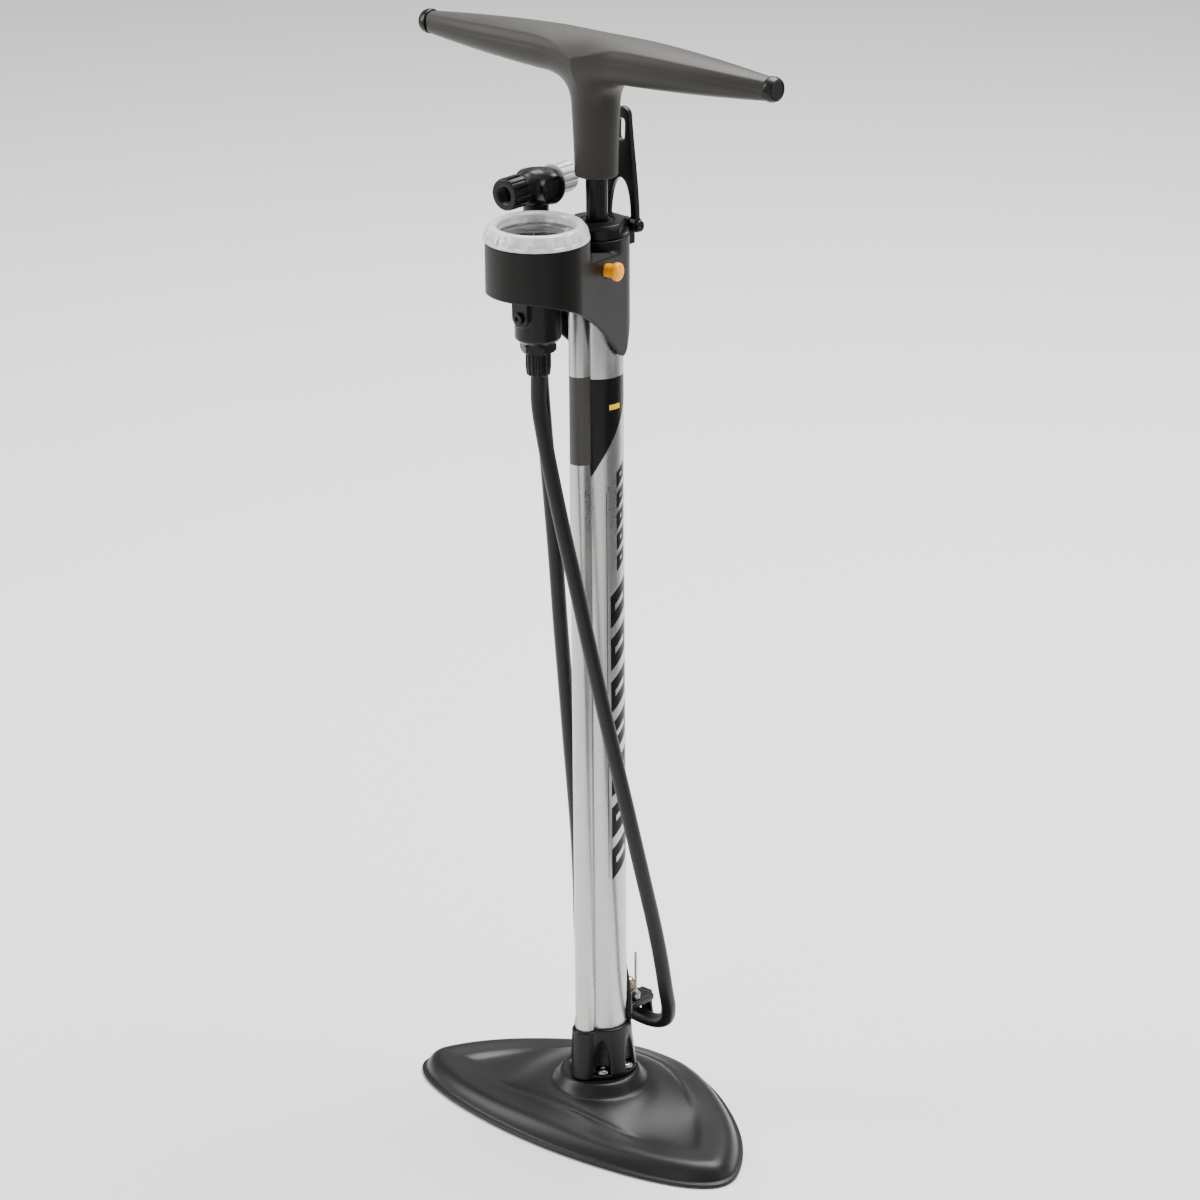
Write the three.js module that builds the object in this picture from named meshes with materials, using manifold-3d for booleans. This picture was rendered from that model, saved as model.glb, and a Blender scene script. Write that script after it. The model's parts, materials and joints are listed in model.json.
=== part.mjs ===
// A floor bike pump: a two-bore aluminium barrel on a shield-shaped foot, with a
// gauge cup at the top, a T handle, and a hose with a twin head.
// Millimetres, +Z up. Lengths are first laid out around the barrel's own axis,
// and the whole pump is then moved back so that the origin is under its middle.
import * as THREE from 'three';
import { mergeVertices } from 'three/addons/utils/BufferGeometryUtils.js';
import Module from 'manifold-3d';

const wasm = await Module();
wasm.setup();

// Driving dimensions
const axisSetback = 7.5;       // the barrel's axis stands this far behind the middle
const gap = 0.3;               // clearance between pieces that touch
const barrelRadius = 14.3;
const barrelBore = 12.9;
const barrelFoot = 36;
const barrelTop = 536;
const airTubeRadius = 6.2;
const airTubeBore = 4.4;
const airTubeY = -15.3;
const airTubeTop = 517.7;
const rodRadius = 6;
const gaugeY = -50;
const cupRadius = 28.3;
const cupLow = 520;
const cupTop = 549;
const collarRadius = 18;
const collarTop = 541;
const capTop = 549;
const capFlat = 15.2;           // from the rod's axis to each spanner flat
const handleHalf = 125;
const handleZ = 641.2;
const stemFoot = 574;
const stemRadius = 12;
const hoseRadius = 4.35;
const headX = -31;
const headY = -15;
const headZ = 566;
const headArm = 8.2;
const latchY = 20.7;
const latchZ = 542.5;
const footHalf = 117.5;
const rimCrest = 11.8;
const domeTop = 27;
const panLevel = 9.4;          // the sheet's height away from the rim and the mound
const moundReach = 27;         // the broad mound is at its full rise this far from its middle
const moundRise = 9.5;
const sheet = 2.2;
const boltCircle = 15.4;

const satinSilver = { color: 0xd9dadb, roughness: 0.35, metalness: 1 };
const blackPlastic = { color: 0x2d2c2a, roughness: 0.55, metalness: 0 };
const handlePlastic = { color: 0x3a3937, roughness: 0.5, metalness: 0 };
const footPaint = { color: 0x3b3a39, roughness: 0.5, metalness: 0.2 };
const steel = { color: 0xb9bcc0, roughness: 0.3, metalness: 1 };
const brass = { color: 0xc9a24a, roughness: 0.35, metalness: 1 };
const rubber = { color: 0x1c1c1c, roughness: 0.8, metalness: 0 };
const amber = { color: 0xf5a81c, roughness: 0.4, metalness: 0 };
const paleGrey = { color: 0xc4c6c8, roughness: 0.4, metalness: 0 };
const clearPlastic = { color: 0xe9edf0, roughness: 0.15, metalness: 0 };
const dialBlack = { color: 0x111111, roughness: 0.6, metalness: 0 };
const rodBlack = { color: 0x1d1d1d, roughness: 0.35, metalness: 0.6 };

// Solids

function solid(geometry) {
  const bare = geometry.clone();
  bare.deleteAttribute('normal');
  bare.deleteAttribute('uv');
  const merged = mergeVertices(bare, 1e-4);
  const vertProperties = new Float32Array(merged.attributes.position.array);
  const triVerts = new Uint32Array(merged.index.array);
  return new wasm.Manifold(new wasm.Mesh({ numProp: 3, vertProperties, triVerts }));
}

function surface(manifold) {
  const mesh = manifold.getMesh();
  const geometry = new THREE.BufferGeometry();
  geometry.setAttribute('position', new THREE.BufferAttribute(mesh.vertProperties, 3));
  geometry.setIndex(new THREE.BufferAttribute(mesh.triVerts, 1));
  geometry.computeVertexNormals();
  return geometry;
}

// A body turned about a vertical line; the profile lists [radius, height], either
// way round, and is put in the order that makes the faces point out.
function turned(profile, sides = 22, x = 0, y = 0) {
  const points = profile.map(([radius, height]) => new THREE.Vector2(radius, height));
  if (THREE.ShapeUtils.area(points) < 0) points.reverse();
  const geometry = new THREE.LatheGeometry(points, sides);
  geometry.rotateX(Math.PI / 2);
  geometry.translate(x, y, 0);
  return geometry;
}

function disc(radius, low, high, sides = 22, x = 0, y = 0) {
  return turned([[0, low], [radius, low], [radius, high], [0, high]], sides, x, y);
}

function ring(outer, inner, low, high, sides = 22, x = 0, y = 0) {
  const profile = [[inner, low], [outer, low], [outer, high], [inner, high], [inner, low]];
  return turned(profile, sides, x, y);
}

// Turns a body built along +Z so that +Z becomes the named direction.
function along(geometry, direction) {
  if (direction === 'x') geometry.rotateY(Math.PI / 2);
  if (direction === 'y') geometry.rotateX(-Math.PI / 2);
  return geometry;
}

function box(low, high) {
  const size = high.map((value, i) => value - low[i]);
  const geometry = new THREE.BoxGeometry(...size);
  geometry.translate(...low.map((value, i) => value + size[i] / 2));
  return geometry;
}

// A flat outline raised along +Z from low to high.
function raised(shape, low, high, curveSegments = 12) {
  const depth = high - low;
  const geometry = new THREE.ExtrudeGeometry(shape, { depth, bevelEnabled: false, curveSegments });
  geometry.translate(0, 0, low);
  return geometry;
}

function circlePath(radius, x = 0, y = 0) {
  const path = new THREE.Path();
  path.absarc(x, y, radius, 0, Math.PI * 2, true);
  return path;
}

function tubeAlong(points, radius, sides, steps) {
  const section = new THREE.Shape();
  for (let i = 0; i < sides; i += 1) {
    const angle = (i / sides) * Math.PI * 2;
    const x = radius * Math.cos(angle);
    const y = radius * Math.sin(angle);
    if (i === 0) section.moveTo(x, y);
    else section.lineTo(x, y);
  }
  const route = points.map((point) => new THREE.Vector3(...point));
  const extrudePath = new THREE.CatmullRomCurve3(route, false, 'centripetal');
  return new THREE.ExtrudeGeometry(section, { steps, extrudePath, bevelEnabled: false });
}

// A closed skin through a row of rings with the same number of points.
function lofted(rings) {
  const count = rings[0].length;
  const positions = rings.flat().flat();
  const index = [];
  for (let k = 0; k + 1 < rings.length; k += 1) {
    for (let i = 0; i < count; i += 1) {
      const a = k * count + i;
      const b = k * count + ((i + 1) % count);
      index.push(a, b, b + count, a, b + count, a + count);
    }
  }
  const last = (rings.length - 1) * count;
  for (let i = 1; i + 1 < count; i += 1) {
    index.push(0, i + 1, i);
    index.push(last, last + i, last + i + 1);
  }
  const geometry = new THREE.BufferGeometry();
  geometry.setAttribute('position', new THREE.Float32BufferAttribute(positions, 3));
  geometry.setIndex(index);
  return geometry;
}

function joined(...geometries) {
  return geometries.map(solid).reduce((sum, next) => sum.add(next));
}

function cutFrom(body, ...tools) {
  return tools.reduce((left, tool) => left.subtract(solid(tool)), body);
}

// The foot: a pressed shell whose rim rolls down to the floor.

function footOutline() {
  const half = [
    [0, -63.4], [42, -60.8], [82, -53], [105, -43.5], [115.6, -33.5],
    [footHalf, -23], [112, -9], [96, 13], [72, 34.5], [42, 53.5], [18, 62.5],
  ];
  const left = half.slice(1).reverse().map(([x, y]) => [-x, y]);
  const loop = [...half, [0, 64], ...left].map(([x, y]) => new THREE.Vector3(x, y, 0));
  return new THREE.CatmullRomCurve3(loop, true, 'centripetal');
}

function footTop(inset, reach) {
  const rise = rimCrest * Math.sqrt(1 - Math.max(0, 1 - inset / 11) ** 2);
  const pan = panLevel + (rimCrest - panLevel) * Math.exp(-(((Math.max(inset, 11) - 11) / 12) ** 2));
  const spread = Math.exp(-((Math.max(reach - moundReach, 0) / 26) ** 2));
  const mound = moundRise * spread * THREE.MathUtils.smoothstep(inset, 6, 24);
  const dome = (domeTop - panLevel - moundRise) * THREE.MathUtils.smoothstep(30 - reach, 0, 8);
  return (inset < 11 ? rise : pan) + mound + dome;
}

function footPlate() {
  const around = 40;
  const outline = footOutline().getSpacedPoints(around).slice(0, around);
  const insets = [0, 1.2, 4, 8, 13, 25];
  const reaches = [33, 28, 25, 22, 17];
  const middle = [0, -3];
  const place = (point, inset, reach) => {
    const dx = point.x - middle[0];
    const dy = point.y - middle[1];
    const full = Math.hypot(dx, dy);
    const left = reach === undefined ? full - inset : reach;
    return [middle[0] + (dx / full) * left, middle[1] + (dy / full) * left, left];
  };
  const ringAt = (inset, reach, drop) => outline.map((point) => {
    const [x, y, left] = place(point, inset, reach);
    const level = footTop(reach === undefined ? inset : 60, left) - drop;
    return [x, y, Math.max(level, 1)];
  });
  const top = [
    outline.map((point) => [point.x, point.y, 1]),
    outline.map((point) => [point.x, point.y, 3]),
    ...insets.slice(1).map((inset) => ringAt(inset, undefined, 0)),
    ...reaches.map((reach) => ringAt(0, reach, 0)),
  ];
  const under = [
    ...reaches.slice().reverse().map((reach) => ringAt(0, reach - 0.6, sheet)),
    ...insets.slice(2).reverse().map((inset) => ringAt(inset, undefined, sheet)),
    outline.map((point) => [...place(point, 2.6).slice(0, 2), 1]),
  ];
  const rings = [...top, ...under];
  const count = around;
  const index = [];
  const skin = (a, b) => {
    for (let i = 0; i < count; i += 1) {
      const j = (i + 1) % count;
      index.push(a * count + i, a * count + j, b * count + j);
      index.push(a * count + i, b * count + j, b * count + i);
    }
  };
  for (let k = 0; k + 1 < top.length; k += 1) skin(k, k + 1);
  for (let k = top.length; k + 1 < rings.length; k += 1) skin(k, k + 1);
  skin(rings.length - 1, 0);
  const positions = rings.flat().flat();
  const lids = [[top.length - 1, 1], [top.length, -1]];
  for (const [row, facing] of lids) {
    const centre = positions.length / 3;
    positions.push(middle[0], middle[1], rings[row][0][2]);
    for (let i = 0; i < count; i += 1) {
      const a = row * count + i;
      const b = row * count + ((i + 1) % count);
      if (facing > 0) index.push(a, b, centre);
      else index.push(b, a, centre);
    }
  }
  const geometry = new THREE.BufferGeometry();
  geometry.setAttribute('position', new THREE.Float32BufferAttribute(positions, 3));
  geometry.setIndex(index);
  return geometry;
}

const boltPlaces = [-50, 10, 170, 230].map((degrees) => {
  const angle = THREE.MathUtils.degToRad(degrees);
  return [boltCircle * Math.cos(angle), boltCircle * Math.sin(angle)];
});

function basePlate() {
  const holes = boltPlaces.map(([x, y]) => disc(2.1, 15, 35, 10, x, y));
  return surface(cutFrom(solid(footPlate()), ...holes));
}

function socketBolt(x, y) {
  return turned([
    [0, 18], [1.8, 18], [1.8, 30.3], [4.1, 30.3], [4.1, 31.6], [3, 32.8], [0, 32.8],
  ], 12, x, y);
}

function socket() {
  const skirt = turned([
    [0, domeTop + gap], [19.8, domeTop + gap], [19.8, 30], [18.4, 40], [16.6, 57], [16.1, 58],
    [0, 58],
  ], 26);
  const boss = turned([
    [0, domeTop + gap], [9.2, domeTop + gap], [9.2, 30], [8.3, 57.2], [7.8, 58], [0, 58],
  ], 16, 0, airTubeY);
  const bores = [
    disc(barrelRadius + gap, barrelFoot - gap, 60, 26),
    disc(airTubeRadius + gap, barrelFoot - gap, 60, 16, 0, airTubeY),
  ];
  const scallops = boltPlaces.map(([x, y]) => {
    const outward = 19.6 / boltCircle;
    return turned([[0, 30], [4.6, 30], [4.6, 34], [3.2, 46], [0, 50]], 12, x * outward, y * outward);
  });
  const seats = boltPlaces.map(([x, y]) => disc(4.5, 30, 34.4, 12, x, y));
  const shanks = boltPlaces.map(([x, y]) => disc(2.1, 20, 31, 10, x, y));
  const airChannel = box([-2, airTubeY, 33.4], [2, 1, barrelFoot]);
  return surface(cutFrom(joined(skirt, boss), ...bores, ...scallops, ...seats, ...shanks, airChannel));
}

function footPad(x, y) {
  return turned([[0, 0], [7.4, 0], [8, 0.8], [8, 6.6], [0, 6.6]], 12, x, y);
}

// The barrel: one extrusion with the pump bore and a small air tube.

function barrel() {
  const tubes = joined(
    disc(barrelRadius, barrelFoot, barrelTop, 28),
    disc(airTubeRadius, barrelFoot, airTubeTop, 16, 0, airTubeY),
  );
  const bore = disc(barrelBore, barrelFoot - 1, barrelTop + 1, 28);
  const airBore = disc(airTubeBore, barrelFoot - 1, barrelTop + 1, 12, 0, airTubeY - 0.6);
  return surface(cutFrom(tubes, bore, airBore));
}

function bottomPlug() {
  const low = barrelFoot + 0.6;
  return turned([
    [2.2, low], [12.5, low], [12.5, low + 4.4], [10.9, low + 4.4], [10.9, low + 7.4],
    [12.5, low + 7.4], [12.5, low + 10.4], [2.2, low + 10.4], [2.2, low + 8.4], [4.2, low + 8.4],
    [4.2, low + 1.6], [2.2, low + 1.6], [2.2, low],
  ], 24);
}

function valveSpring() {
  const turns = 4;
  const points = [];
  for (let i = 0; i <= turns * 8; i += 1) {
    const angle = (i / 8) * Math.PI * 2;
    const rise = barrelFoot + 2.2 + (i / (turns * 8)) * 1.9;
    points.push([1.9 * Math.cos(angle), 1.9 * Math.sin(angle), rise]);
  }
  return points;
}

// Piston and rod

function pistonHead() {
  return turned([
    [6 + gap, 66], [12.4, 66], [12.4, 60], [10.6, 60], [10.6, 55.2], [3.3, 55.2],
    [3.3, 56.2], [6 + gap, 56.2], [6 + gap, 66],
  ], 22);
}

function pistonCup() {
  return turned([
    [12.6, 53], [12.6, 59.7], [10.9, 59.7], [10.9, 54.9], [3.4, 54.9], [3.4, 53.8], [11.4, 53.8],
    [11.8, 53], [12.6, 53],
  ], 22);
}

function rod() {
  return joined(
    disc(rodRadius, 56.5, 606, 16),
    disc(3, 48.5, 57, 10),
  );
}

function pistonNut() {
  const shape = new THREE.Shape();
  for (let i = 0; i < 6; i += 1) {
    const angle = (i / 6) * Math.PI * 2;
    const x = 5.6 * Math.cos(angle);
    const y = 5.6 * Math.sin(angle);
    if (i === 0) shape.moveTo(x, y);
    else shape.lineTo(x, y);
  }
  shape.holes.push(circlePath(3.3));
  return raised(shape, 49, 53.4, 10);
}

// The barrel cap with a flat for a spanner on two sides, and a guide below it.

function barrelCap() {
  const flange = turned([
    [rodRadius + gap, collarTop + gap], [17.3, collarTop + gap], [17.3, 544.6], [16.6, 548.2],
    [15.8, capTop], [9.6, capTop], [9.6, 545.6], [rodRadius + gap, 545.6],
    [rodRadius + gap, collarTop + gap],
  ], 26);
  const skirt = ring(12.6, rodRadius + gap, 516, collarTop + 0.5, 26);
  const flats = [26, 206].map((degrees) => {
    const slab = box([capFlat, -20, collarTop + 2.4], [22, 20, capTop + 1]);
    slab.rotateZ(THREE.MathUtils.degToRad(degrees));
    return slab;
  });
  const hingeRoom = box([-9, 16.4, collarTop - 1], [9, 20, capTop + 1]);
  return surface(cutFrom(joined(flange, skirt), ...flats, hingeRoom));
}

// The upper housing: gauge cup, saddle, collar, latch lug and head dock.

function tangentHull(collar, cup) {
  const lean = Math.asin((cup - collar) / -gaugeY);
  const shape = new THREE.Shape();
  shape.absarc(0, 0, collar, -lean, Math.PI + lean, false);
  shape.absarc(0, gaugeY, cup, Math.PI + lean, Math.PI * 2 - lean, false);
  return shape;
}

// What lies under the sweeping lower edge, as a wall across the pump.
function belowEdge() {
  const edge = new THREE.Shape();
  edge.moveTo(-90, 440);
  edge.lineTo(-90, cupLow);
  edge.lineTo(-68, cupLow);
  edge.bezierCurveTo(-45, cupLow - 4, -24, 500, -8, 477.5);
  edge.bezierCurveTo(-4, 472, 2, 470.5, 4, 475);
  edge.bezierCurveTo(7, 484, 10, 496, 30, 500);
  edge.lineTo(30, 440);
  const wall = new THREE.ExtrudeGeometry(edge, { depth: 80, bevelEnabled: false, curveSegments: 5 });
  wall.rotateX(Math.PI / 2);
  wall.rotateZ(Math.PI / 2);
  wall.translate(-40, 0, 0);
  return wall;
}

const wallNormal = Math.asin((cupRadius - collarRadius) / -gaugeY);
const buttonY = -17.5;
const buttonZ = 528;

function buttonPlace(geometry) {
  const x = (collarRadius - buttonY * Math.sin(wallNormal)) / Math.cos(wallNormal);
  along(geometry, 'x');
  geometry.rotateZ(wallNormal);
  geometry.translate(x, buttonY, buttonZ);
  return geometry;
}

function upperHousing() {
  let body = joined(
    raised(tangentHull(collarRadius, cupRadius), 465, 534.7, 9),
    disc(cupRadius, 515, cupTop, 32, 0, gaugeY),
    turned([[0, 500], [collarRadius, 500], [collarRadius, 540.2], [17.2, collarTop], [0, collarTop]], 26),
  );
  body = cutFrom(body, raised(tangentHull(collarRadius - 2.2, cupRadius - 2.2), 460, 524, 9));
  body = body.add(solid(disc(17.4, 495, 530, 26)));
  body = body.add(solid(disc(8.8, 505, 526, 16, 0, airTubeY)));
  body = body.add(solid(box([-7, -40, 519.8], [7, -12, 526])));
  body = cutFrom(body, belowEdge());
  const lug = joined(
    box([-7.2, 16.8, 531], [7.2, 23, latchZ]),
    along(disc(4, -7.2, 7.2, 12), 'x').translate(0, latchY, latchZ),
  );
  const trim = cutFrom(lug, disc(17.7, collarTop, 560, 26));
  body = body.add(trim);
  const dock = joined(
    ring(9.4, 6.4, 527.6, 534.7, 18, headX, headY),
    box([headX + 7.5, headY - 5.5, 527.6], [-19, headY + 4, 534.7]),
  );
  const mouth = box([headX - 14, headY - 3.9, 520], [headX, headY + 3.9, 540]);
  body = body.add(cutFrom(dock, mouth, disc(6.4, 520, 540, 18, headX, headY)));
  body = cutFrom(
    body,
    disc(barrelRadius + gap, 460, barrelTop + gap, 26),
    disc(12.9, 530, 550, 26),
    disc(airTubeRadius + gap, 460, 518, 16, 0, airTubeY),
    disc(2.6, 515, 522, 10, 0, airTubeY),
    along(disc(2.4, -62, -22, 10), 'y').translate(0, 0, 520.5),
    disc(26.2, 524.2, 560, 28, 0, gaugeY),
    disc(4, 510, 530, 12, 0, gaugeY),
    along(disc(2.5, -12, 12, 10), 'x').translate(0, latchY, latchZ),
    buttonPlace(disc(4.3, -6, 3, 18)),
    buttonPlace(disc(5.7, -8.4, -2.4, 18)),
  );
  return surface(body);
}

function releaseButton() {
  return buttonPlace(turned([
    [0, -5.6], [5.2, -5.6], [5.2, -4.4], [3.9, -4.4], [3.9, 4.6], [5.2, 5.3], [5.2, 7.2],
    [3.6, 8.6], [0, 8.8],
  ], 16));
}

function buttonSpring() {
  const points = [];
  for (let i = 0; i <= 24; i += 1) {
    const angle = (i / 8) * Math.PI * 2;
    points.push([3.4 * Math.cos(angle), 3.4 * Math.sin(angle), -8.05 + (i / 24) * 2.1]);
  }
  return buttonPlace(tubeAlong(points, 0.25, 5, 24));
}

// Gauge

function gaugeCase() {
  return turned([
    [4.4, 524.5], [25.8, 524.5], [25.8, 546], [25, 546], [25, 525.4], [4.4, 525.4], [4.4, 524.5],
  ], 28, 0, gaugeY);
}

function bourdonTube() {
  const shape = new THREE.Shape();
  shape.absarc(0, 0, 19, -Math.PI * 0.42, Math.PI * 0.95, false);
  shape.absarc(0, 0, 16.6, Math.PI * 0.95, -Math.PI * 0.42, true);
  return raised(shape, 528, 534, 20).translate(0, gaugeY, 0);
}

function gaugeStem() {
  const body = joined(
    disc(3.7, 519.9, 527, 12, 0, gaugeY),
    box([-4, gaugeY - 20, 525.7], [8, gaugeY + 4, 533.6]),
  );
  const seat = ring(19.4, 16.2, 526.5, 534.4, 26, 0, gaugeY);
  return surface(cutFrom(body, seat, disc(1.4, 515, 530, 8, 0, gaugeY)));
}

function movementPlate() {
  const plate = disc(14, 536, 537.2, 22, 0, gaugeY);
  const posts = [[-11, 6], [11, 6], [0, -12]].map(([x, y]) => disc(1.3, 537, 542.4, 8, x, gaugeY + y));
  const holes = [disc(1.4, 530, 540, 8, 0, gaugeY), disc(1.4, 530, 540, 8, 7, gaugeY)];
  return surface(cutFrom(joined(plate, ...posts), ...holes));
}

function sectorGear() {
  const shape = new THREE.Shape();
  shape.moveTo(2.4, 0);
  shape.absarc(0, 0, 4.6, Math.PI * 0.84, Math.PI * 1.16, false);
  shape.lineTo(2.4, 0);
  const arm = raised(shape, 538, 539, 8);
  return surface(joined(arm, disc(1.1, 534.4, 539.8, 8))).translate(7, gaugeY, 0);
}

function pinionSpindle() {
  return turned([
    [0, 534], [1.1, 534], [1.1, 537.6], [1.9, 537.6], [1.9, 539.4], [1.1, 539.4], [1.1, 544.5], [0, 544.5],
  ], 10, 0, gaugeY);
}

function needle() {
  const shape = new THREE.Shape();
  shape.moveTo(-1.6, -6);
  shape.lineTo(1.6, -6);
  shape.lineTo(0.4, 19.5);
  shape.lineTo(-0.4, 19.5);
  const pointer = raised(shape, 545, 545.6);
  const hub = disc(2.6, 544.8, 546.6, 10);
  const body = joined(pointer, hub);
  const geometry = surface(body);
  geometry.rotateZ(THREE.MathUtils.degToRad(130));
  return geometry.translate(0, gaugeY, 0);
}

function gaugeBezel() {
  return turned([
    [24.4, cupTop + gap], [29, cupTop + gap], [29, 551.3], [28.6, 553.4], [26.2, 557.4],
    [25.2, 558], [22, 557.2], [21.4, 556.4], [21.4, 552.2], [24.4, 552.2], [24.4, cupTop + gap],
  ], 28, 0, gaugeY);
}

// Hose gland under the gauge

function hoseGland() {
  const body = turned([
    [4.4, 491.3], [11.4, 491.3], [12.8, 492.8], [12.8, 519.4], [4.4, 519.4], [4.4, 491.3],
  ], 22, 0, gaugeY);
  const lugShape = new THREE.Shape();
  lugShape.moveTo(-5.6, 519.4);
  lugShape.lineTo(-5.6, 508);
  lugShape.absarc(0, 508, 5.6, Math.PI, Math.PI * 2, false);
  lugShape.lineTo(5.6, 519.4);
  const lug = raised(lugShape, 0, 6.6, 10);
  lug.rotateX(Math.PI / 2);
  lug.translate(0, gaugeY - 8.6, 0);
  const hole = along(disc(1.9, 0, 9.2, 10), 'y').translate(0, gaugeY - 20, 508);
  return surface(cutFrom(joined(body, lug), disc(4.4, 480, 530, 12, 0, gaugeY), hole));
}

function glandScrew() {
  const body = joined(disc(3.1, 0, 1.6, 12), disc(1.5, 1.2, 5.4, 8));
  const recess = new THREE.CylinderGeometry(1.2, 1.2, 1.6, 6);
  recess.rotateX(Math.PI / 2);
  return along(surface(cutFrom(body, recess)), 'y').translate(0, gaugeY - 17.1, 508);
}

function hexNut(across, low, high, bore, x, y) {
  const shape = new THREE.Shape();
  for (let i = 0; i < 6; i += 1) {
    const angle = ((i + 0.5) / 6) * Math.PI * 2;
    const px = x + across * Math.cos(angle);
    const py = y + across * Math.sin(angle);
    if (i === 0) shape.moveTo(px, py);
    else shape.lineTo(px, py);
  }
  shape.holes.push(circlePath(bore, x, y));
  return raised(shape, low, high, 12);
}

function ribbedShape(radius, depth, ribs, bore) {
  const shape = new THREE.Shape();
  for (let i = 0; i < ribs * 4; i += 1) {
    const angle = (i / (ribs * 4)) * Math.PI * 2;
    const reach = i % 4 < 2 ? radius : radius - depth;
    const x = reach * Math.cos(angle);
    const y = reach * Math.sin(angle);
    if (i === 0) shape.moveTo(x, y);
    else shape.lineTo(x, y);
  }
  shape.holes.push(circlePath(bore));
  return shape;
}

// The hose's route, from the strain relief around the foot of the barrel and
// up behind it to the stored head.
const hoseRoute = [
  [0, -50, 472.1], [0, -50, 455], [3, -49.5, 436.3], [7, -48.3, 414.7], [12.8, -45.8, 383.4],
  [17.7, -42.8, 356], [23.3, -38.3, 319.7], [27.9, -31.8, 280.5], [32, -24.5, 241.4],
  [35.3, -16.2, 202.4], [37.2, -6.5, 162.6], [38, 2.2, 129.7], [38.1, 8.3, 104.5],
  [37.5, 12.9, 85], [34.5, 19.3, 68.5], [26.3, 26.5, 55.8], [12.1, 31.7, 48.2], [-4.6, 33, 47.9],
  [-19.5, 30, 55.2], [-28.3, 23.9, 68.1], [-31.1, 19.1, 84.1], [-31.4, 17.4, 104],
  [-31.2, 16.5, 130], [-30.6, 14.3, 162.9], [-29.5, 10.1, 195.6], [-28, 5.1, 229.2],
  [-26.7, 0.1, 266.9], [-26, -4.5, 306.6], [-26.1, -7.7, 346.5], [-26.8, -11.1, 388.3],
  [-28.3, -13.6, 428.2], [-30.3, -14.9, 471.2], [-31, -15, 496.2], [-31, -15, 524.7],
];

// Twin head, with its chucks along Y and its short arm along X

function headFerrule() {
  return turned([
    [2.2, 525], [6, 525], [6, 548], [7.2, 549], [7.2, 556.4], [2.2, 556.4], [2.2, 525],
  ], 16, headX, headY);
}

function headBody() {
  const chuckTube = along(turned([
    [0, -13.2], [6.6, -13.2], [7.4, -11], [8.3, -6], [8.3, 6], [7.4, 11], [6.6, 13.2], [0, 13.2],
  ], 18), 'y');
  const arm = along(turned([
    [0, -11.5], [5.6, -11.5], [7.6, -9.6], [headArm, -5], [headArm, 13.6], [7.2, 15.8], [0, 15.8],
  ], 18), 'x');
  const neck = disc(7, -9.3, 0, 16);
  const passage = along(disc(2.4, -20, 20, 8), 'y');
  const feed = disc(2, -20, 1, 8);
  const recess = along(disc(4.6, 14.6, 17, 12), 'x');
  const body = cutFrom(joined(chuckTube, arm, neck), passage, feed, recess);
  return surface(body).translate(headX, headY, headZ);
}

function chuckCollar(direction) {
  const length = 11.5;
  const body = raised(ribbedShape(8.4, 0.7, 12, 4.5), 13.5, 13.5 + length, 5);
  const nose = ring(7.6, 4.5, 13.5 + length - 0.2, 13.5 + length + 1.4, 18);
  const collar = surface(joined(body, nose));
  along(collar, 'y');
  if (direction < 0) collar.rotateX(Math.PI);
  return collar.translate(headX, headY, headZ);
}

function chuckSeal(direction) {
  const seal = along(ring(4.2, 2.2, 14, 19.6, 12), 'y');
  if (direction < 0) seal.rotateX(Math.PI);
  return seal.translate(headX, headY, headZ);
}

// Handle

function handleHeight(x) {
  return 12.8 - 5.8 * (Math.abs(x) / 113) ** 1.8;
}

function handleDepth(x) {
  return 17.5 - 10.5 * (Math.abs(x) / 113) ** 1.9;
}

function handleBody() {
  const end = handleHalf - 5.7;
  const sections = 14;
  const around = 16;
  const rings = [];
  for (let k = 0; k <= sections; k += 1) {
    const x = -end + (2 * end * k) / sections;
    const row = [];
    for (let i = 0; i < around; i += 1) {
      const angle = ((i + 0.5) / around) * Math.PI * 2;
      row.push([x, handleDepth(x) * Math.cos(angle), handleZ + handleHeight(x) * Math.sin(angle)]);
    }
    rings.push(row);
  }
  const stem = [];
  for (const z of [stemFoot, stemFoot + 1.4, 596, 614, 621, 627, 632, 638]) {
    const up = Math.max(0, (z - stemFoot) / 48);
    const edge = z === stemFoot ? -1.2 : 0;
    const flare = 13 * (1 - Math.sqrt(1 - Math.min(1, Math.max(0, (z - 614) / 24)) ** 2));
    const row = [];
    for (let i = 0; i < 20; i += 1) {
      const angle = (i / 20) * Math.PI * 2;
      const rx = stemRadius + edge + 1.3 * up ** 1.5 + flare;
      const ry = stemRadius + edge + 2.6 * up ** 1.5 + flare * 0.12;
      row.push([rx * Math.cos(angle), ry * Math.sin(angle), z]);
    }
    stem.push(row);
  }
  const nub = box([-1.7, 9, 592], [1.7, 15.4, 597]);
  const plugBores = [-1, 1].map((side) => {
    const bore = along(disc(4.6, side > 0 ? 100 : -end - 1, side > 0 ? end + 1 : -100, 12), 'x');
    return bore.translate(0, 0, handleZ);
  });
  return surface(cutFrom(
    joined(lofted(rings), lofted(stem), nub),
    disc(rodRadius + gap, 560, 606.4, 16),
    disc(9, 588, 602, 16),
    ...plugBores,
  ));
}

function endPlug(side) {
  const end = handleHalf - 5.7;
  const plug = turned([
    [0, 104], [4.2, 104], [4.2, end + gap], [6.9, end + gap], [7, end + 3.4], [6.2, handleHalf],
    [5, handleHalf], [5, handleHalf - 0.8], [0, handleHalf - 0.8],
  ], 18);
  plug.rotateY((side * Math.PI) / 2);
  return plug.translate(0, 0, handleZ);
}

// Latch that swings up and hooks on the nub behind the stem

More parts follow.
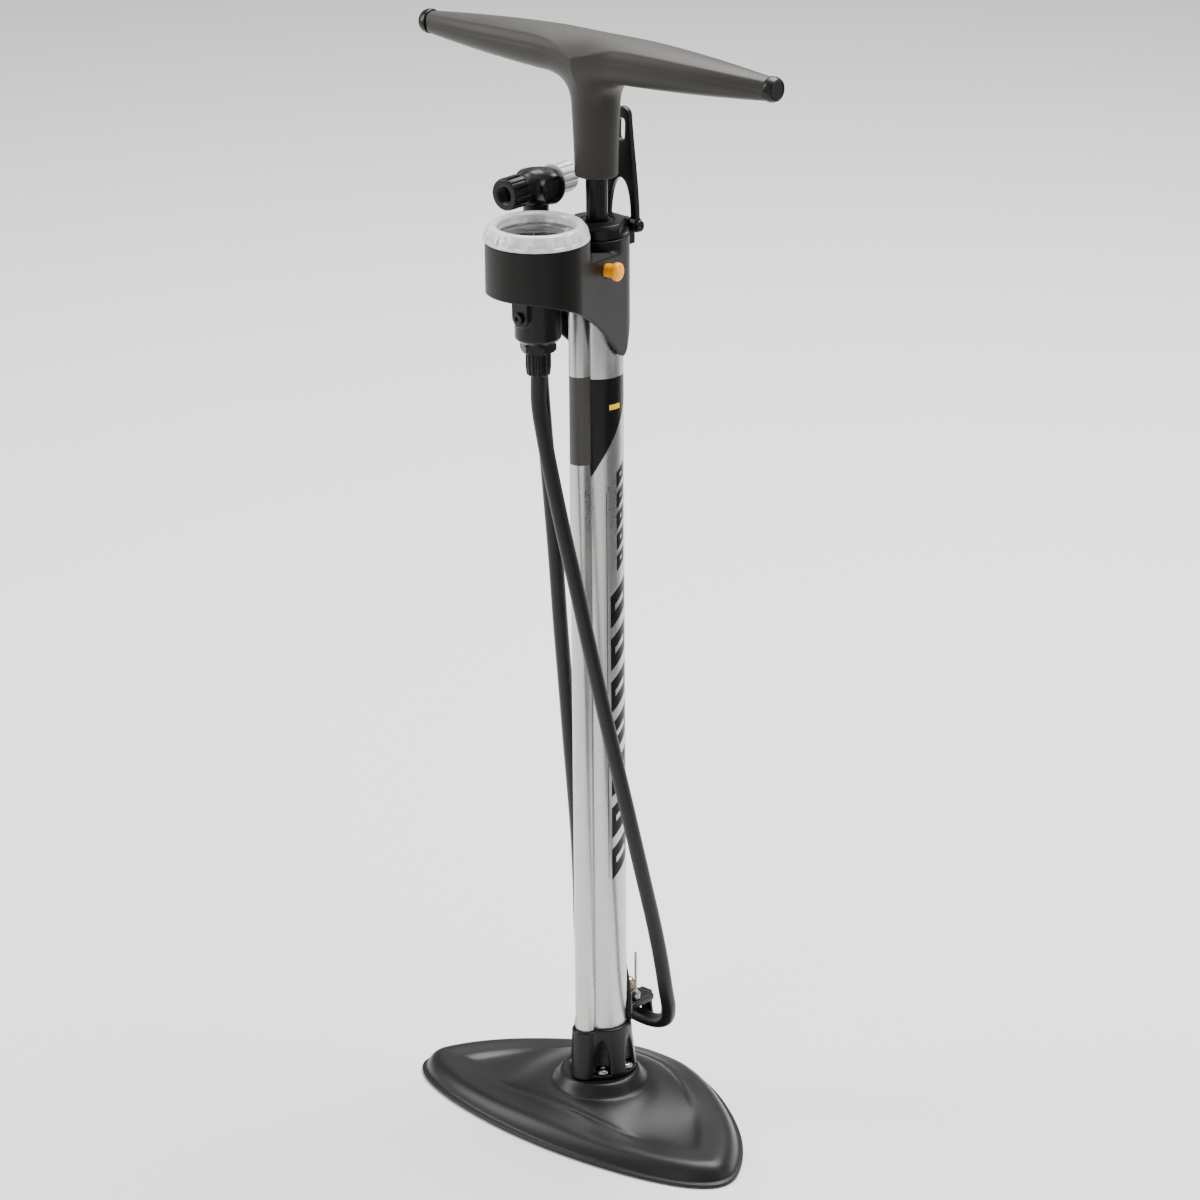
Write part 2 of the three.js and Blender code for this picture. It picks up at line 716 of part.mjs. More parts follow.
function latch() {
  const outline = new THREE.Shape();
  outline.moveTo(8, 0);
  outline.lineTo(12.4, 0);
  outline.bezierCurveTo(11.6, 20, 7.8, 38, 5.2, 58);
  outline.absarc(0, 60.4, 5.2, 0, Math.PI, false);
  outline.bezierCurveTo(-7.8, 38, -11.6, 20, -12.4, 0);
  outline.lineTo(-8, 0);
  outline.bezierCurveTo(-7.8, 12, -6, 25, 0, 25.6);
  outline.bezierCurveTo(6, 25, 7.8, 12, 8, 0);
  const eye = new THREE.Path();
  eye.absarc(0, 56.6, 2.5, 0, Math.PI, false);
  eye.absarc(0, 49, 2.5, Math.PI, Math.PI * 2, false);
  outline.holes.push(eye);
  const blade = raised(outline, -1.9, 1.9, 10);
  blade.rotateX(Math.PI / 2);
  const feet = [-1, 1].map((side) => {
    const foot = along(disc(3.9, 8, 12.4, 12), 'x');
    if (side < 0) foot.rotateZ(Math.PI);
    return foot;
  });
  const hole = along(disc(2.5, -20, 20, 10), 'x');
  const body = surface(cutFrom(joined(blade, ...feet), hole));
  body.rotateX(THREE.MathUtils.degToRad(-2.2));
  return body.translate(0, latchY, latchZ);
}

function latchPin() {
  const pin = turned([
    [0, -14.4], [3.2, -14.4], [3.2, -12.8], [2.2, -12.8], [2.2, 12.8], [3.2, 12.8], [3.2, 14.4], [0, 14.4],
  ], 10);
  return along(pin, 'x').translate(0, latchY, latchZ);
}

// Clip at the back of the barrel's foot, with a shelf for the adapters

function rearClip() {
  const wrap = new THREE.Shape();
  const open = THREE.MathUtils.degToRad(28);
  wrap.absarc(0, 0, barrelRadius + 3.2, open, Math.PI - open, false);
  wrap.absarc(0, 0, barrelRadius + gap, Math.PI - open, open, true);
  const plate = raised(wrap, 58.8, 92, 14);
  const slopes = [-1, 1].map((side) => {
    const slope = box([-15, 0, 0], [15, 40, 70]);
    slope.rotateY(THREE.MathUtils.degToRad(side * -22));
    return slope.translate(side * 30, 0, 62);
  });
  const shelf = box([-9, 15.6, 58.8], [9, 37, 63]);
  const hookShape = new THREE.Shape();
  hookShape.moveTo(32, 60);
  hookShape.lineTo(41.2, 60);
  hookShape.lineTo(41.2, 52);
  hookShape.lineTo(42.4, 46);
  hookShape.lineTo(41, 43.4);
  hookShape.lineTo(40, 52);
  hookShape.lineTo(38.2, 56);
  hookShape.lineTo(32, 58.6);
  const hook = raised(hookShape, -4, 4, 4);
  hook.rotateX(Math.PI / 2);
  hook.rotateZ(Math.PI / 2);
  const top = box([-4, 30, 58.8], [4, 41.2, 62]);
  const holes = [disc(1.6, 55, 66, 10, 5, 24.5), disc(3.2, 60.2, 66, 10, -4, 29)];
  const blade = cutFrom(solid(plate), ...slopes);
  const body = blade.add(joined(shelf, hook, top));
  return surface(cutFrom(body, ...holes));
}

function ballNeedle() {
  return turned([
    [0, 57.4], [1.3, 57.4], [1.3, 63.4], [2.8, 63.4], [2.8, 67], [1.2, 68.2], [0.8, 69],
    [0.8, 93.4], [0, 94.2],
  ], 10, 5, 24.5);
}

function valveAdapter() {
  return turned([
    [0, 60.6], [2.9, 60.6], [2.9, 65], [3.6, 66], [3.6, 70], [2.4, 72], [0, 72.6],
  ], 10, -4, 29);
}

// Assembly

const pump = new THREE.Group();
pump.position.y = axisSetback;

function add(name, shape, look) {
  const geometry = shape.isBufferGeometry ? shape : surface(shape);
  const mesh = new THREE.Mesh(geometry, new THREE.MeshStandardMaterial(look));
  mesh.name = name;
  pump.add(mesh);
}

add('base_plate', basePlate(), footPaint);
add('foot_pad_left', footPad(-92, -27), rubber);
add('foot_pad_right', footPad(92, -27), rubber);
add('foot_pad_rear', footPad(0, 47), rubber);
add('socket', socket(), blackPlastic);
boltPlaces.forEach(([x, y], i) => add(`socket_bolt_${i + 1}`, socketBolt(x, y), steel));
add('barrel', barrel(), satinSilver);
add('bottom_plug', bottomPlug(), blackPlastic);
add('bottom_seal', ring(12.6, 11.2, barrelFoot + 5.3, barrelFoot + 7.7), rubber);
add('check_ball', new THREE.SphereGeometry(2.9, 12, 8).translate(0, 0, barrelFoot + 6.8), rubber);
add('check_spring', tubeAlong(valveSpring(), 0.25, 5, 24), steel);
add('piston', pistonHead(), blackPlastic);
add('piston_cup', pistonCup(), rubber);
add('piston_nut', pistonNut(), steel);
add('piston_rod', rod(), rodBlack);
add('bumper', ring(10, rodRadius + gap, 66.3, 70, 18), rubber);
add('barrel_cap', barrelCap(), blackPlastic);
add('cap_wiper', ring(9.3, rodRadius + gap, 546, 548.6, 18), rubber);
add('rod_guide', ring(12.6, rodRadius + 0.2, 508, 515.7, 22), paleGrey);
add('upper_housing', upperHousing(), blackPlastic);
add('release_button', releaseButton(), amber);
add('button_spring', buttonSpring(), steel);
add('gauge_case', gaugeCase(), steel);
add('bourdon_tube', bourdonTube(), brass);
add('gauge_stem', gaugeStem(), brass);
add('movement_plate', movementPlate(), brass);
add('sector_gear', sectorGear(), brass);
add('pinion_spindle', pinionSpindle(), brass);
add('dial', ring(24.2, 1.6, 542.7, 543.4, 28, 0, gaugeY), dialBlack);
add('needle', needle(), amber);
add('rim_ring', ring(25.4, 22.8, 546.3, 549, 28, 0, gaugeY), steel);
add('lens', disc(24.1, 549.4, 551.9, 28, 0, gaugeY), clearPlastic);
add('gauge_bezel', gaugeBezel(), clearPlastic);
add('hose_gland', hoseGland(), blackPlastic);
add('gland_screw', glandScrew(), rodBlack);
add('gland_nut', hexNut(10.2, 486, 491, 5, 0, gaugeY), blackPlastic);
const relief = raised(ribbedShape(7.1, 0.7, 12, 2.4), 472.4, 485.7, 4);
add('strain_relief', relief.translate(0, gaugeY, 0), blackPlastic);
add('hose', tubeAlong(hoseRoute, hoseRadius, 8, 52), rubber);
add('head_ferrule', headFerrule(), blackPlastic);
add('head_body', headBody(), blackPlastic);
add('black_chuck_collar', chuckCollar(-1), blackPlastic);
add('grey_chuck_collar', chuckCollar(1), paleGrey);
add('black_chuck_seal', chuckSeal(-1), rubber);
add('grey_chuck_seal', chuckSeal(1), rubber);
add('handle', handleBody(), handlePlastic);
add('handle_insert', ring(8.7, rodRadius + gap, 588.4, 601.6, 16), steel);
add('end_plug_left', endPlug(-1), blackPlastic);
add('end_plug_right', endPlug(1), blackPlastic);
add('latch', latch(), blackPlastic);
add('latch_pin', latchPin(), rodBlack);
add('rear_clip', rearClip(), blackPlastic);
add('ball_needle', ballNeedle(), steel);
add('valve_adapter', valveAdapter(), brass);

export default pump;
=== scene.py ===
import json
import bpy
import numpy as np
from mathutils import Matrix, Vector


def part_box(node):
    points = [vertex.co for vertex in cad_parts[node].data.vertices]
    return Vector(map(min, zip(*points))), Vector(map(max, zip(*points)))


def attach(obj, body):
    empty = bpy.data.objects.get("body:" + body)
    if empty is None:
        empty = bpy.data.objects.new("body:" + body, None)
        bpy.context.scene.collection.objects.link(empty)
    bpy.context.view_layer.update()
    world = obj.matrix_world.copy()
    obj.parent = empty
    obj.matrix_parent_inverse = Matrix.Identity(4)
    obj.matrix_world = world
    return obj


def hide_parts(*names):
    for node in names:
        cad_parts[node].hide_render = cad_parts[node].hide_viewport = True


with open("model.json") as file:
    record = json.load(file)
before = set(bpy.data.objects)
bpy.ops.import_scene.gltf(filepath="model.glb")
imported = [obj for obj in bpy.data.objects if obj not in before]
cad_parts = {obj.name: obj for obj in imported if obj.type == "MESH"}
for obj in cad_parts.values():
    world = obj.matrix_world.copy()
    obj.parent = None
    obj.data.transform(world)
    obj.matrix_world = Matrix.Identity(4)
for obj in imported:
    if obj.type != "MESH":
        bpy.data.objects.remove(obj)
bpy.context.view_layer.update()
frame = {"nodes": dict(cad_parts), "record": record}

# Shapes are worked out in millimetres around the barrel's own axis, and are moved back
# and turned to metres when they become meshes.
barrelBox = [np.array(corner) * 1000 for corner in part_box("barrel")]
axisBack = barrelBox[1][1] - 14.3
bodyOf = {node: body for body, nodes in frame["record"]["behaviour"]["bodies"].items() for node in nodes}
print("frame loaded, barrel axis", round(float(axisBack), 2), "mm behind the middle")


def inMetres(points):
    # pump millimetres to the shared frame: y moves back to the middle of the pump, then all over a thousand
    placed = np.array(points, dtype=float)
    placed[..., 1] += axisBack
    return placed / 1000


# Camera, in front and to the right of the gauge, looking down
viewpoint = {
    "focalLength": 122.14,     # mm on a 36 mm wide sensor
    "azimuth": 40.51,          # degrees round from the front
    "height": 21.609,          # degrees above level
    "roll": -0.427,
    "distance": 2313.66,       # mm from the point aimed at
    "aimSide": 0.19,
    "aimHeight": 324.3,
}


def makeCamera(view):
    turn, lift, roll = (np.radians(view[name]) for name in ("azimuth", "height", "roll"))
    back = np.array([np.sin(turn) * np.cos(lift), -np.cos(turn) * np.cos(lift), np.sin(lift)])
    right = np.array([np.cos(turn), np.sin(turn), 0])
    up = np.cross(back, right)
    aim = np.array([0, 0, view["aimHeight"]]) + right * view["aimSide"]
    eye = inMetres(aim + back * view["distance"])
    rolledRight = right * np.cos(roll) + up * np.sin(roll)
    rolledUp = up * np.cos(roll) - right * np.sin(roll)
    lens = bpy.data.cameras.new("studioCamera")
    lens.lens = view["focalLength"]
    lens.sensor_width = 36
    lens.clip_end = 60
    camera = bpy.data.objects.new("studioCamera", lens)
    matrix = np.eye(4)
    matrix[:3, 0], matrix[:3, 1], matrix[:3, 2], matrix[:3, 3] = rolledRight, rolledUp, back, eye
    camera.matrix_world = Matrix(matrix.tolist())
    bpy.context.scene.collection.objects.link(camera)
    bpy.context.scene.camera = camera


makeCamera(viewpoint)
print("camera placed")


# Mesh makers

def signedVolume(points, faces):
    # six times the volume that triangles fanned from each face's first corner make with the origin
    total = 0.0
    for face in ([f for f in faces if len(f) == 4], [f for f in faces if len(f) == 3]):
        if not face:
            continue
        corners = points[np.array(face)]
        for second in range(1, corners.shape[1] - 1):
            cross = np.cross(corners[:, second], corners[:, second + 1])
            total += float((corners[:, 0] * cross).sum())
    return total


def addPiece(name, points, faces, material, node, finish, crease=38, normals=None):
    placed = inMetres(points)
    centred = placed - placed.mean(0)
    if signedVolume(centred, faces) < 0:
        faces = [list(face)[::-1] for face in faces]
    mesh = bpy.data.meshes.new(name)
    mesh.from_pydata(placed.tolist(), [], faces)
    mesh.polygons.foreach_set("use_smooth", np.ones(len(mesh.polygons), bool))
    if normals is None:
        mesh.set_sharp_from_angle(angle=float(np.radians(crease)))
    else:
        mesh.normals_split_custom_set_from_vertices(normals.tolist())
    mesh.materials.append(material)
    piece = bpy.data.objects.new(name, mesh)
    bpy.context.scene.collection.objects.link(piece)
    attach(piece, bodyOf[node])
    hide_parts(node)
    return piece


def skin(grid, ringRows=False):
    # a sheet of four-sided faces over rows of rings; open ends get a fan to the middle of the end ring
    rows, around = grid.shape[:2]
    index = np.arange(rows * around).reshape(rows, around)
    low = index if ringRows else index[:-1]
    high = np.roll(index, -1, 0) if ringRows else index[1:]
    quads = np.stack([low, np.roll(low, -1, 1), np.roll(high, -1, 1), high], -1).reshape(-1, 4)
    points = grid.reshape(-1, 3)
    faces = quads.tolist()
    if not ringRows:
        for ring, turn in ((index[0], -1), (index[-1], 1)):
            middle = points[ring].mean(0)
            fan = np.stack([ring, np.roll(ring, -1), np.full(around, len(points))], -1)[:, ::turn]
            points = np.vstack([points, middle])
            faces += fan.tolist()
    return points, faces


def joinedSkins(*skins):
    points, faces, start = [], [], 0
    for somePoints, someFaces in skins:
        points.append(somePoints)
        faces += [[corner + start for corner in face] for face in someFaces]
        start += len(somePoints)
    return np.vstack(points), faces


def rounded(corners, fillet=0.4, steps=4, closed=False):
    # each corner gives way to a parabola that leaves one edge and joins the next, a fillet length from it
    out = []
    count = len(corners)
    for i, corner in enumerate(corners):
        here = np.array(corner[:2], float)
        size = corner[2] if len(corner) > 2 else fillet
        if size <= 0 or (not closed and i in (0, count - 1)):
            out.append(here)
            continue
        before = np.array(corners[i - 1][:2], float) - here
        after = np.array(corners[(i + 1) % count][:2], float) - here
        size = min(size, 0.45 * np.hypot(*before), 0.45 * np.hypot(*after))
        start = here + before / np.hypot(*before) * size
        end = here + after / np.hypot(*after) * size
        for t in np.linspace(0, 1, steps + 1):
            out.append((1 - t) ** 2 * start + 2 * t * (1 - t) * here + t * t * end)
    return np.array(out)


def toward(points, direction):
    # turns a shape built along +z so that +z becomes the named direction
    x, y, z = points[..., 0], points[..., 1], points[..., 2]
    turned = {"z": (x, y, z), "x": (z, x, y), "y": (y, z, x), "-y": (-y, -z, x), "-x": (-z, -x, y)}
    return np.stack(turned[direction], -1)


def turnedGrid(profile, around=96, closed=False, reach=None, centre=(0, 0, 0), direction="z"):
    # surface point = (radius cos a, radius sin a, height) for a going once round; reach may change the radius
    angle = np.arange(around) / around * 2 * np.pi
    profile = np.array(profile, float)
    if not closed:
        profile[:, 0] = np.maximum(profile[:, 0], 0.02)
    radius = np.repeat(profile[:, :1], around, 1)
    height = np.repeat(profile[:, 1:2], around, 1)
    if reach:
        radius = reach(angle[None], radius, height)
    grid = np.stack([radius * np.cos(angle), radius * np.sin(angle), height], -1)
    return skin(toward(grid, direction) + np.array(centre, float), ringRows=closed)


def smoothRoute(points, count, closed=False):
    # centripetal Catmull-Rom: knots are spaced by the square root of the distance between the points
    points = np.array(points, float)
    if closed:
        ends = np.vstack([points[-1:], points, points[:2]])
    else:
        ends = np.vstack([2 * points[0] - points[1], points, 2 * points[-1] - points[-2]])
    spans = len(ends) - 3
    place = np.linspace(0, spans, count + 1)[:-1] if closed else np.linspace(0, spans, count)
    span = np.minimum(place.astype(int), spans - 1)
    t = (place - span)[:, None]
    p0, p1, p2, p3 = (ends[span + k] for k in range(4))
    d0, d1, d2 = (np.maximum(np.linalg.norm(b - a, axis=1, keepdims=True) ** 0.5, 1e-6)
                  for a, b in ((p0, p1), (p1, p2), (p2, p3)))
    m1 = ((p1 - p0) / d0 - (p2 - p0) / (d0 + d1) + (p2 - p1) / d1) * d1
    m2 = ((p2 - p1) / d1 - (p3 - p1) / (d1 + d2) + (p3 - p2) / d2) * d1
    return ((2 * t**3 - 3 * t**2 + 1) * p1 + (t**3 - 2 * t**2 + t) * m1
            + (3 * t**2 - 2 * t**3) * p2 + (t**3 - t**2) * m2)


def evenly(route, count):
    steps = np.r_[0, np.cumsum(np.linalg.norm(np.diff(route, axis=0), axis=1))]
    wanted = np.linspace(0, steps[-1], count)
    return np.stack([np.interp(wanted, steps, route[:, k]) for k in range(route.shape[1])], -1)


def tubeGrid(route, radius, around):
    # rings square to the route, carried along it without twist
    ahead = np.gradient(route, axis=0)
    ahead /= np.linalg.norm(ahead, axis=1, keepdims=True)
    side = np.zeros_like(route)
    first = np.array([1.0, 0, 0]) if abs(ahead[0, 0]) < 0.9 else np.array([0, 1.0, 0])
    side[0] = first - ahead[0] * (first @ ahead[0])
    side[0] /= np.linalg.norm(side[0])
    for i in range(1, len(route)):
        side[i] = side[i - 1] - ahead[i] * (side[i - 1] @ ahead[i])
        side[i] /= np.linalg.norm(side[i])
    other = np.cross(ahead, side)
    angle = np.arange(around) / around * 2 * np.pi
    return route[:, None] + radius * (side[:, None] * np.cos(angle)[None, :, None]
                                      + other[:, None] * np.sin(angle)[None, :, None])


def easeBetween(low, high, value):
    # 0 below low, 1 above high, 3t2 - 2t3 between
    t = np.clip((value - low) / (high - low), 0, 1)
    return t * t * (3 - 2 * t)


def blendMin(a, b, size):
    # the nearer of two fields, with a fillet of about that size where they meet
    near = np.maximum(size - np.abs(a - b), 0) / size
    return np.minimum(a, b) - near * near * size / 4


def blendMax(a, b, size):
    return -blendMin(-a, -b, size)


def disk(x, y, radius, cx=0.0, cy=0.0):
    return np.hypot(x - cx, y - cy) - radius


def between(value, low, high):
    return np.maximum(low - value, value - high)


def block(x, y, z, low, high, soft=0.5):
    # a rounded box: distance outside a smaller box, less the edge radius
    centre = [(a + b) / 2 for a, b in zip(low, high)]
    half = [(b - a) / 2 - soft for a, b in zip(low, high)]
    q = [np.abs(value - c) - h for value, c, h in zip((x, y, z), centre, half)]
    outside = np.sqrt(sum(np.maximum(part, 0) ** 2 for part in q))
    return outside + np.minimum(np.maximum(np.maximum(q[0], q[1]), q[2]), 0) - soft


def mouldedSkin(field, low, high, step):
    # the zero surface of a field: a point in each cell that it crosses, at the middle of the
    # crossings of the cell's edges, then pulled onto the surface along the field's slope
    low = np.array(low, float) - step * 1.37
    counts = np.ceil((np.array(high, float) + step * 1.5 - low) / step).astype(int) + 1
    axes = [low[i] + step * np.arange(counts[i]) for i in range(3)]
    values = field(*np.meshgrid(*axes, indexing="ij", sparse=True))
    values = np.broadcast_to(values, counts).copy()
    values[values == 0] = 1e-9
    cells = tuple(counts - 1)
    total = np.zeros(cells + (3,))
    hits = np.zeros(cells)
    crossings = []
    for axis in range(3):
        a = np.moveaxis(values, axis, 0)[:-1]
        b = np.moveaxis(values, axis, 0)[1:]
        crossed = (a < 0) != (b < 0)
        share = np.where(crossed, a / np.where(crossed, a - b, 1), 0)
        crossings.append(np.moveaxis(crossed & (a < 0), 0, axis) * 1 - np.moveaxis(crossed & (a > 0), 0,
                                                                                   axis) * 1)
        crossed = np.moveaxis(crossed, 0, axis)
        share = np.moveaxis(share, 0, axis)
        others = [k for k in range(3) if k != axis]
        for first in (0, 1):
            for second in (0, 1):
                cut = [slice(None)] * 3
                cut[others[0]] = slice(first, first + cells[others[0]])
                cut[others[1]] = slice(second, second + cells[others[1]])
                hit = crossed[tuple(cut)]
                hits += hit
                total[..., axis] += hit * share[tuple(cut)]
                total[..., others[0]] += hit * first
                total[..., others[1]] += hit * second
    used = hits > 0
    index = np.full(cells, -1)
    index[used] = np.arange(used.sum())
    points = low + step * (np.argwhere(used) + total[used] / hits[used][:, None])
    faces = []
    for axis in range(3):
        second, third = (axis + 1) % 3, (axis + 2) % 3
        places = np.argwhere(crossings[axis] != 0)
        places = places[(places[:, second] > 0) & (places[:, third] > 0)
                        & (places[:, second] < cells[second]) & (places[:, third] < cells[third])]
        signs = crossings[axis][tuple(places.T)]
        corners = []
        for back2, back3 in ((1, 1), (0, 1), (0, 0), (1, 0)):
            spot = places.copy()
            spot[:, second] -= back2
            spot[:, third] -= back3
            corners.append(index[tuple(spot.T)])
        quads = np.stack(corners, -1)
        quads[signs < 0] = quads[signs < 0][:, ::-1]
        faces.append(quads)
    reach = step * 0.2

    def slopeAt(p):
        return np.stack([(field(*(p + shift).T) - field(*(p - shift).T)) / (2 * reach)
                         for shift in np.eye(3) * reach], -1)

    for _ in range(4):
        slope = slopeAt(points)
        size = np.maximum((slope**2).sum(1), 0.05)
        move = -(field(*points.T) / size)[:, None] * slope
        length = np.maximum(np.linalg.norm(move, axis=1, keepdims=True), 1e-9)
        points = points + move * np.minimum(1, 0.5 * step / length)
    slope = slopeAt(points)
    normals = slope / np.maximum(np.linalg.norm(slope, axis=1, keepdims=True), 1e-9)
    return points, np.vstack(faces).tolist(), normals


def addMoulded(name, field, low, high, step, material, node, finish):
    points, faces, normals = mouldedSkin(field, low, high, step)
    return addPiece(name, points, faces, material, node, finish, normals=normals)


# Materials

def hexColour(code):
    # sRGB hex to linear light
    value = np.array([int(code[i:i + 2], 16) for i in (1, 3, 5)]) / 255
    linear = np.where(value <= 0.04045, value / 12.92, ((value + 0.055) / 1.055) ** 2.4)
    return (*linear.tolist(), 1)


def addNode(material, kind, settings=None, links=None):
    node = material.node_tree.nodes.new("ShaderNode" + kind)
    for name, value in (settings or {}).items():
        if isinstance(name, int) or name in node.inputs:
            node.inputs[name].default_value = value
        else:
            setattr(node, name, value)
    for name, source in (links or {}).items():
        material.node_tree.links.new(source, node.inputs[name])
    return node


def newMaterial(name, **shaderValues):
    material = bpy.data.materials.new(name)
    material.use_nodes = True
    shader = material.node_tree.nodes["Principled BSDF"]
    for socket, value in shaderValues.items():
        shader.inputs[socket.replace("_", " ")].default_value = value
    return material, shader


def surfaceOf(name, colours, rough, grainMm, grainDepth, clouds=12, stretch=(1, 1, 1), **shaderValues):
    # a common finish: fine grain in the bump, slow clouds in colour and roughness;
    # grainMm is the real grain size, stretch makes it longer along an axis
    material, shader = newMaterial(name, **shaderValues)
    place = addNode(material, "TexCoord")
    turned = addNode(material, "Mapping", {"Scale": tuple(1 / s for s in stretch)},
                     {"Vector": place.outputs["Object"]})
    grain = addNode(material, "TexNoise", {"Scale": 1000 / (grainMm * 2), "Detail": 3.0, "Roughness": 0.6},
                    {"Vector": turned.outputs["Vector"]})
    cloud = addNode(material, "TexNoise", {"Scale": 1000 / (clouds * 2), "Detail": 2.0},
                    {"Vector": place.outputs["Object"]})
    mixed = addNode(material, "Math", {"operation": "MULTIPLY_ADD", 1: 0.5},
                    {0: grain.outputs["Fac"], 2: cloud.outputs["Fac"]})
    tone = addNode(material, "ValToRGB", links={"Fac": mixed.outputs[0]})
    tone.color_ramp.elements[0].position = 0.45
    for stop, colour in zip(tone.color_ramp.elements, colours):
        stop.color = hexColour(colour)
    gloss = addNode(material, "MapRange", {"From Min": 0.3, "From Max": 0.7, "To Min": rough[0],
                                           "To Max": rough[1]},
                    {"Value": cloud.outputs["Fac"]})
    bump = addNode(material, "Bump", {"Strength": 1.0, "Distance": grainDepth / 1000},
                   {"Height": grain.outputs["Fac"]})
    links = material.node_tree.links
    links.new(tone.outputs["Color"], shader.inputs["Base Color"])
    links.new(gloss.outputs["Result"], shader.inputs["Roughness"])
    links.new(bump.outputs["Normal"], shader.inputs["Normal"])
    return material, shader, tone, gloss, bump, place


# Powder-coated steel: baked powder leaves a faint orange peel about 0.5 mm across and a soft wide sheen
powderCoat = surfaceOf("powderCoat", ("#100f0f", "#151413"), (0.34, 0.41), 0.45, 0.02, clouds=40,
                        Specular_IOR_Level=0.27)[0]
# Glass-filled nylon from a sparked mould: fine even grain that keeps its highlights broad
sparkedNylon = surfaceOf("sparkedNylon", ("#121110", "#171615"), (0.37, 0.44), 0.35, 0.016, clouds=25,
                          Specular_IOR_Level=0.2)[0]
# The same nylon on small working parts, from a smoother mould
smoothNylon = surfaceOf("smoothNylon", ("#0d0c0c", "#131211"), (0.27, 0.34), 0.3, 0.008, clouds=9,
                          Specular_IOR_Level=0.25)[0]
# ABS handle with a leather-fine grain: a little lighter and warmer than the nylon
grainedAbs = surfaceOf("grainedAbs", ("#2d2c29", "#363430"), (0.42, 0.49), 0.4, 0.014, clouds=30,
                        Specular_IOR_Level=0.22)[0]
# Nitrile rubber: almost no shine, slightly dusty in its pores
plainRubber = surfaceOf("plainRubber", ("#0d0d0c", "#131211"), (0.6, 0.72), 0.3, 0.03, clouds=8,
                         Specular_IOR_Level=0.3)[0]
# Extruded hose rubber: fine lines run along it, dulled where hands rub it
hoseRubber = surfaceOf("hoseRubber", ("#0e0d0d", "#141312"), (0.38, 0.46), 0.25, 0.012, clouds=45,
                        Specular_IOR_Level=0.28)[0]
# Black anodised rod: smooth and dark with long tight highlights and hairlines along the stroke
anodisedRod = surfaceOf("anodisedRod", ("#0a0a0a", "#0f0f0e"), (0.2, 0.27), 0.2, 0.004,
                        clouds=18, stretch=(1, 1, 30), Specular_IOR_Level=0.25)[0]
# Nickel-plated steel: bright, with the faint drag lines of turning
platedSteel = surfaceOf("platedSteel", ("#b4b6b8", "#c6c8ca"), (0.18, 0.28), 0.15, 0.004,
                        clouds=5, Metallic=1.0)[0]
# Stainless needle tube, drawn and polished along its length
drawnSteel = surfaceOf("drawnSteel", ("#8c8a88", "#b5b3b0"), (0.22, 0.3), 0.1, 0.004,
                       clouds=3, stretch=(1, 1, 20), Metallic=1.0)[0]
# Chromed brass ring: mirror bright with the softest ripple
chromePlate = surfaceOf("chromePlate", ("#d4d6d9", "#dfe1e3"), (0.06, 0.1), 1.5, 0.003,
                        clouds=14, Metallic=1.0)[0]
# Machined brass: warm, with turning lines and a light tarnish in clouds
turnedBrass = surfaceOf("turnedBrass", ("#a89468", "#cbb98c"), (0.2, 0.32), 0.15, 0.006,
                        clouds=4, Metallic=1.0)[0]
# Light grey acetal for the second collar: waxy and even
greyAcetal = surfaceOf("greyAcetal", ("#b9bbbc", "#c8cacb"), (0.3, 0.38), 0.4, 0.008, clouds=9,
                       Subsurface_Weight=0.06, Subsurface_Scale=0.002)[0]
# Orange-yellow acetal for the bleed button: glossy, a little light inside
amberAcetal = surfaceOf("amberAcetal", ("#ff9c00", "#ffae00"), (0.26, 0.34), 0.5, 0.006, clouds=4,
                        Specular_IOR_Level=0.35)[0]
print("materials mixed")


# Hose: a reinforced rubber air hose that goes round the foot of the barrel to the stored head
hose = {"radius": 4.35, "rings": 380, "around": 28}
hoseRoute = [
    (0, -50, 472.1), (0, -50, 455), (3, -49.5, 436.3), (7, -48.3, 414.7), (12.8, -45.8, 383.4),
    (17.7, -42.8, 356), (23.3, -38.3, 319.7), (27.9, -31.8, 280.5), (32, -24.5, 241.4),
    (35.3, -16.2, 202.4), (37.2, -6.5, 162.6), (38, 2.2, 129.7), (38.1, 8.3, 104.5),
    (37.5, 12.9, 85), (34.5, 19.3, 68.5), (26.3, 26.5, 55.8), (12.1, 31.7, 48.2), (-4.6, 33, 47.9),
    (-19.5, 30, 55.2), (-28.3, 23.9, 68.1), (-31.1, 19.1, 84.1), (-31.4, 17.4, 104),
    (-31.2, 16.5, 130), (-30.6, 14.3, 162.9), (-29.5, 10.1, 195.6), (-28, 5.1, 229.2),
    (-26.7, 0.1, 266.9), (-26, -4.5, 306.6), (-26.1, -7.7, 346.5), (-26.8, -11.1, 388.3),
    (-28.3, -13.6, 428.2), (-30.3, -14.9, 471.2), (-31, -15, 496.2), (-31, -15, 524.7),
]
hoseLine = evenly(smoothRoute(hoseRoute, 3000), hose["rings"])
hosePoints, hoseFaces = skin(tubeGrid(hoseLine, hose["radius"], hose["around"]))
hosePiece = addPiece("airHose", hosePoints, hoseFaces, hoseRubber, "hose", "rubber", crease=60)
hosePath = [tuple(point) for point in inMetres(evenly(smoothRoute(hoseRoute, 3000), 60)).tolist()]


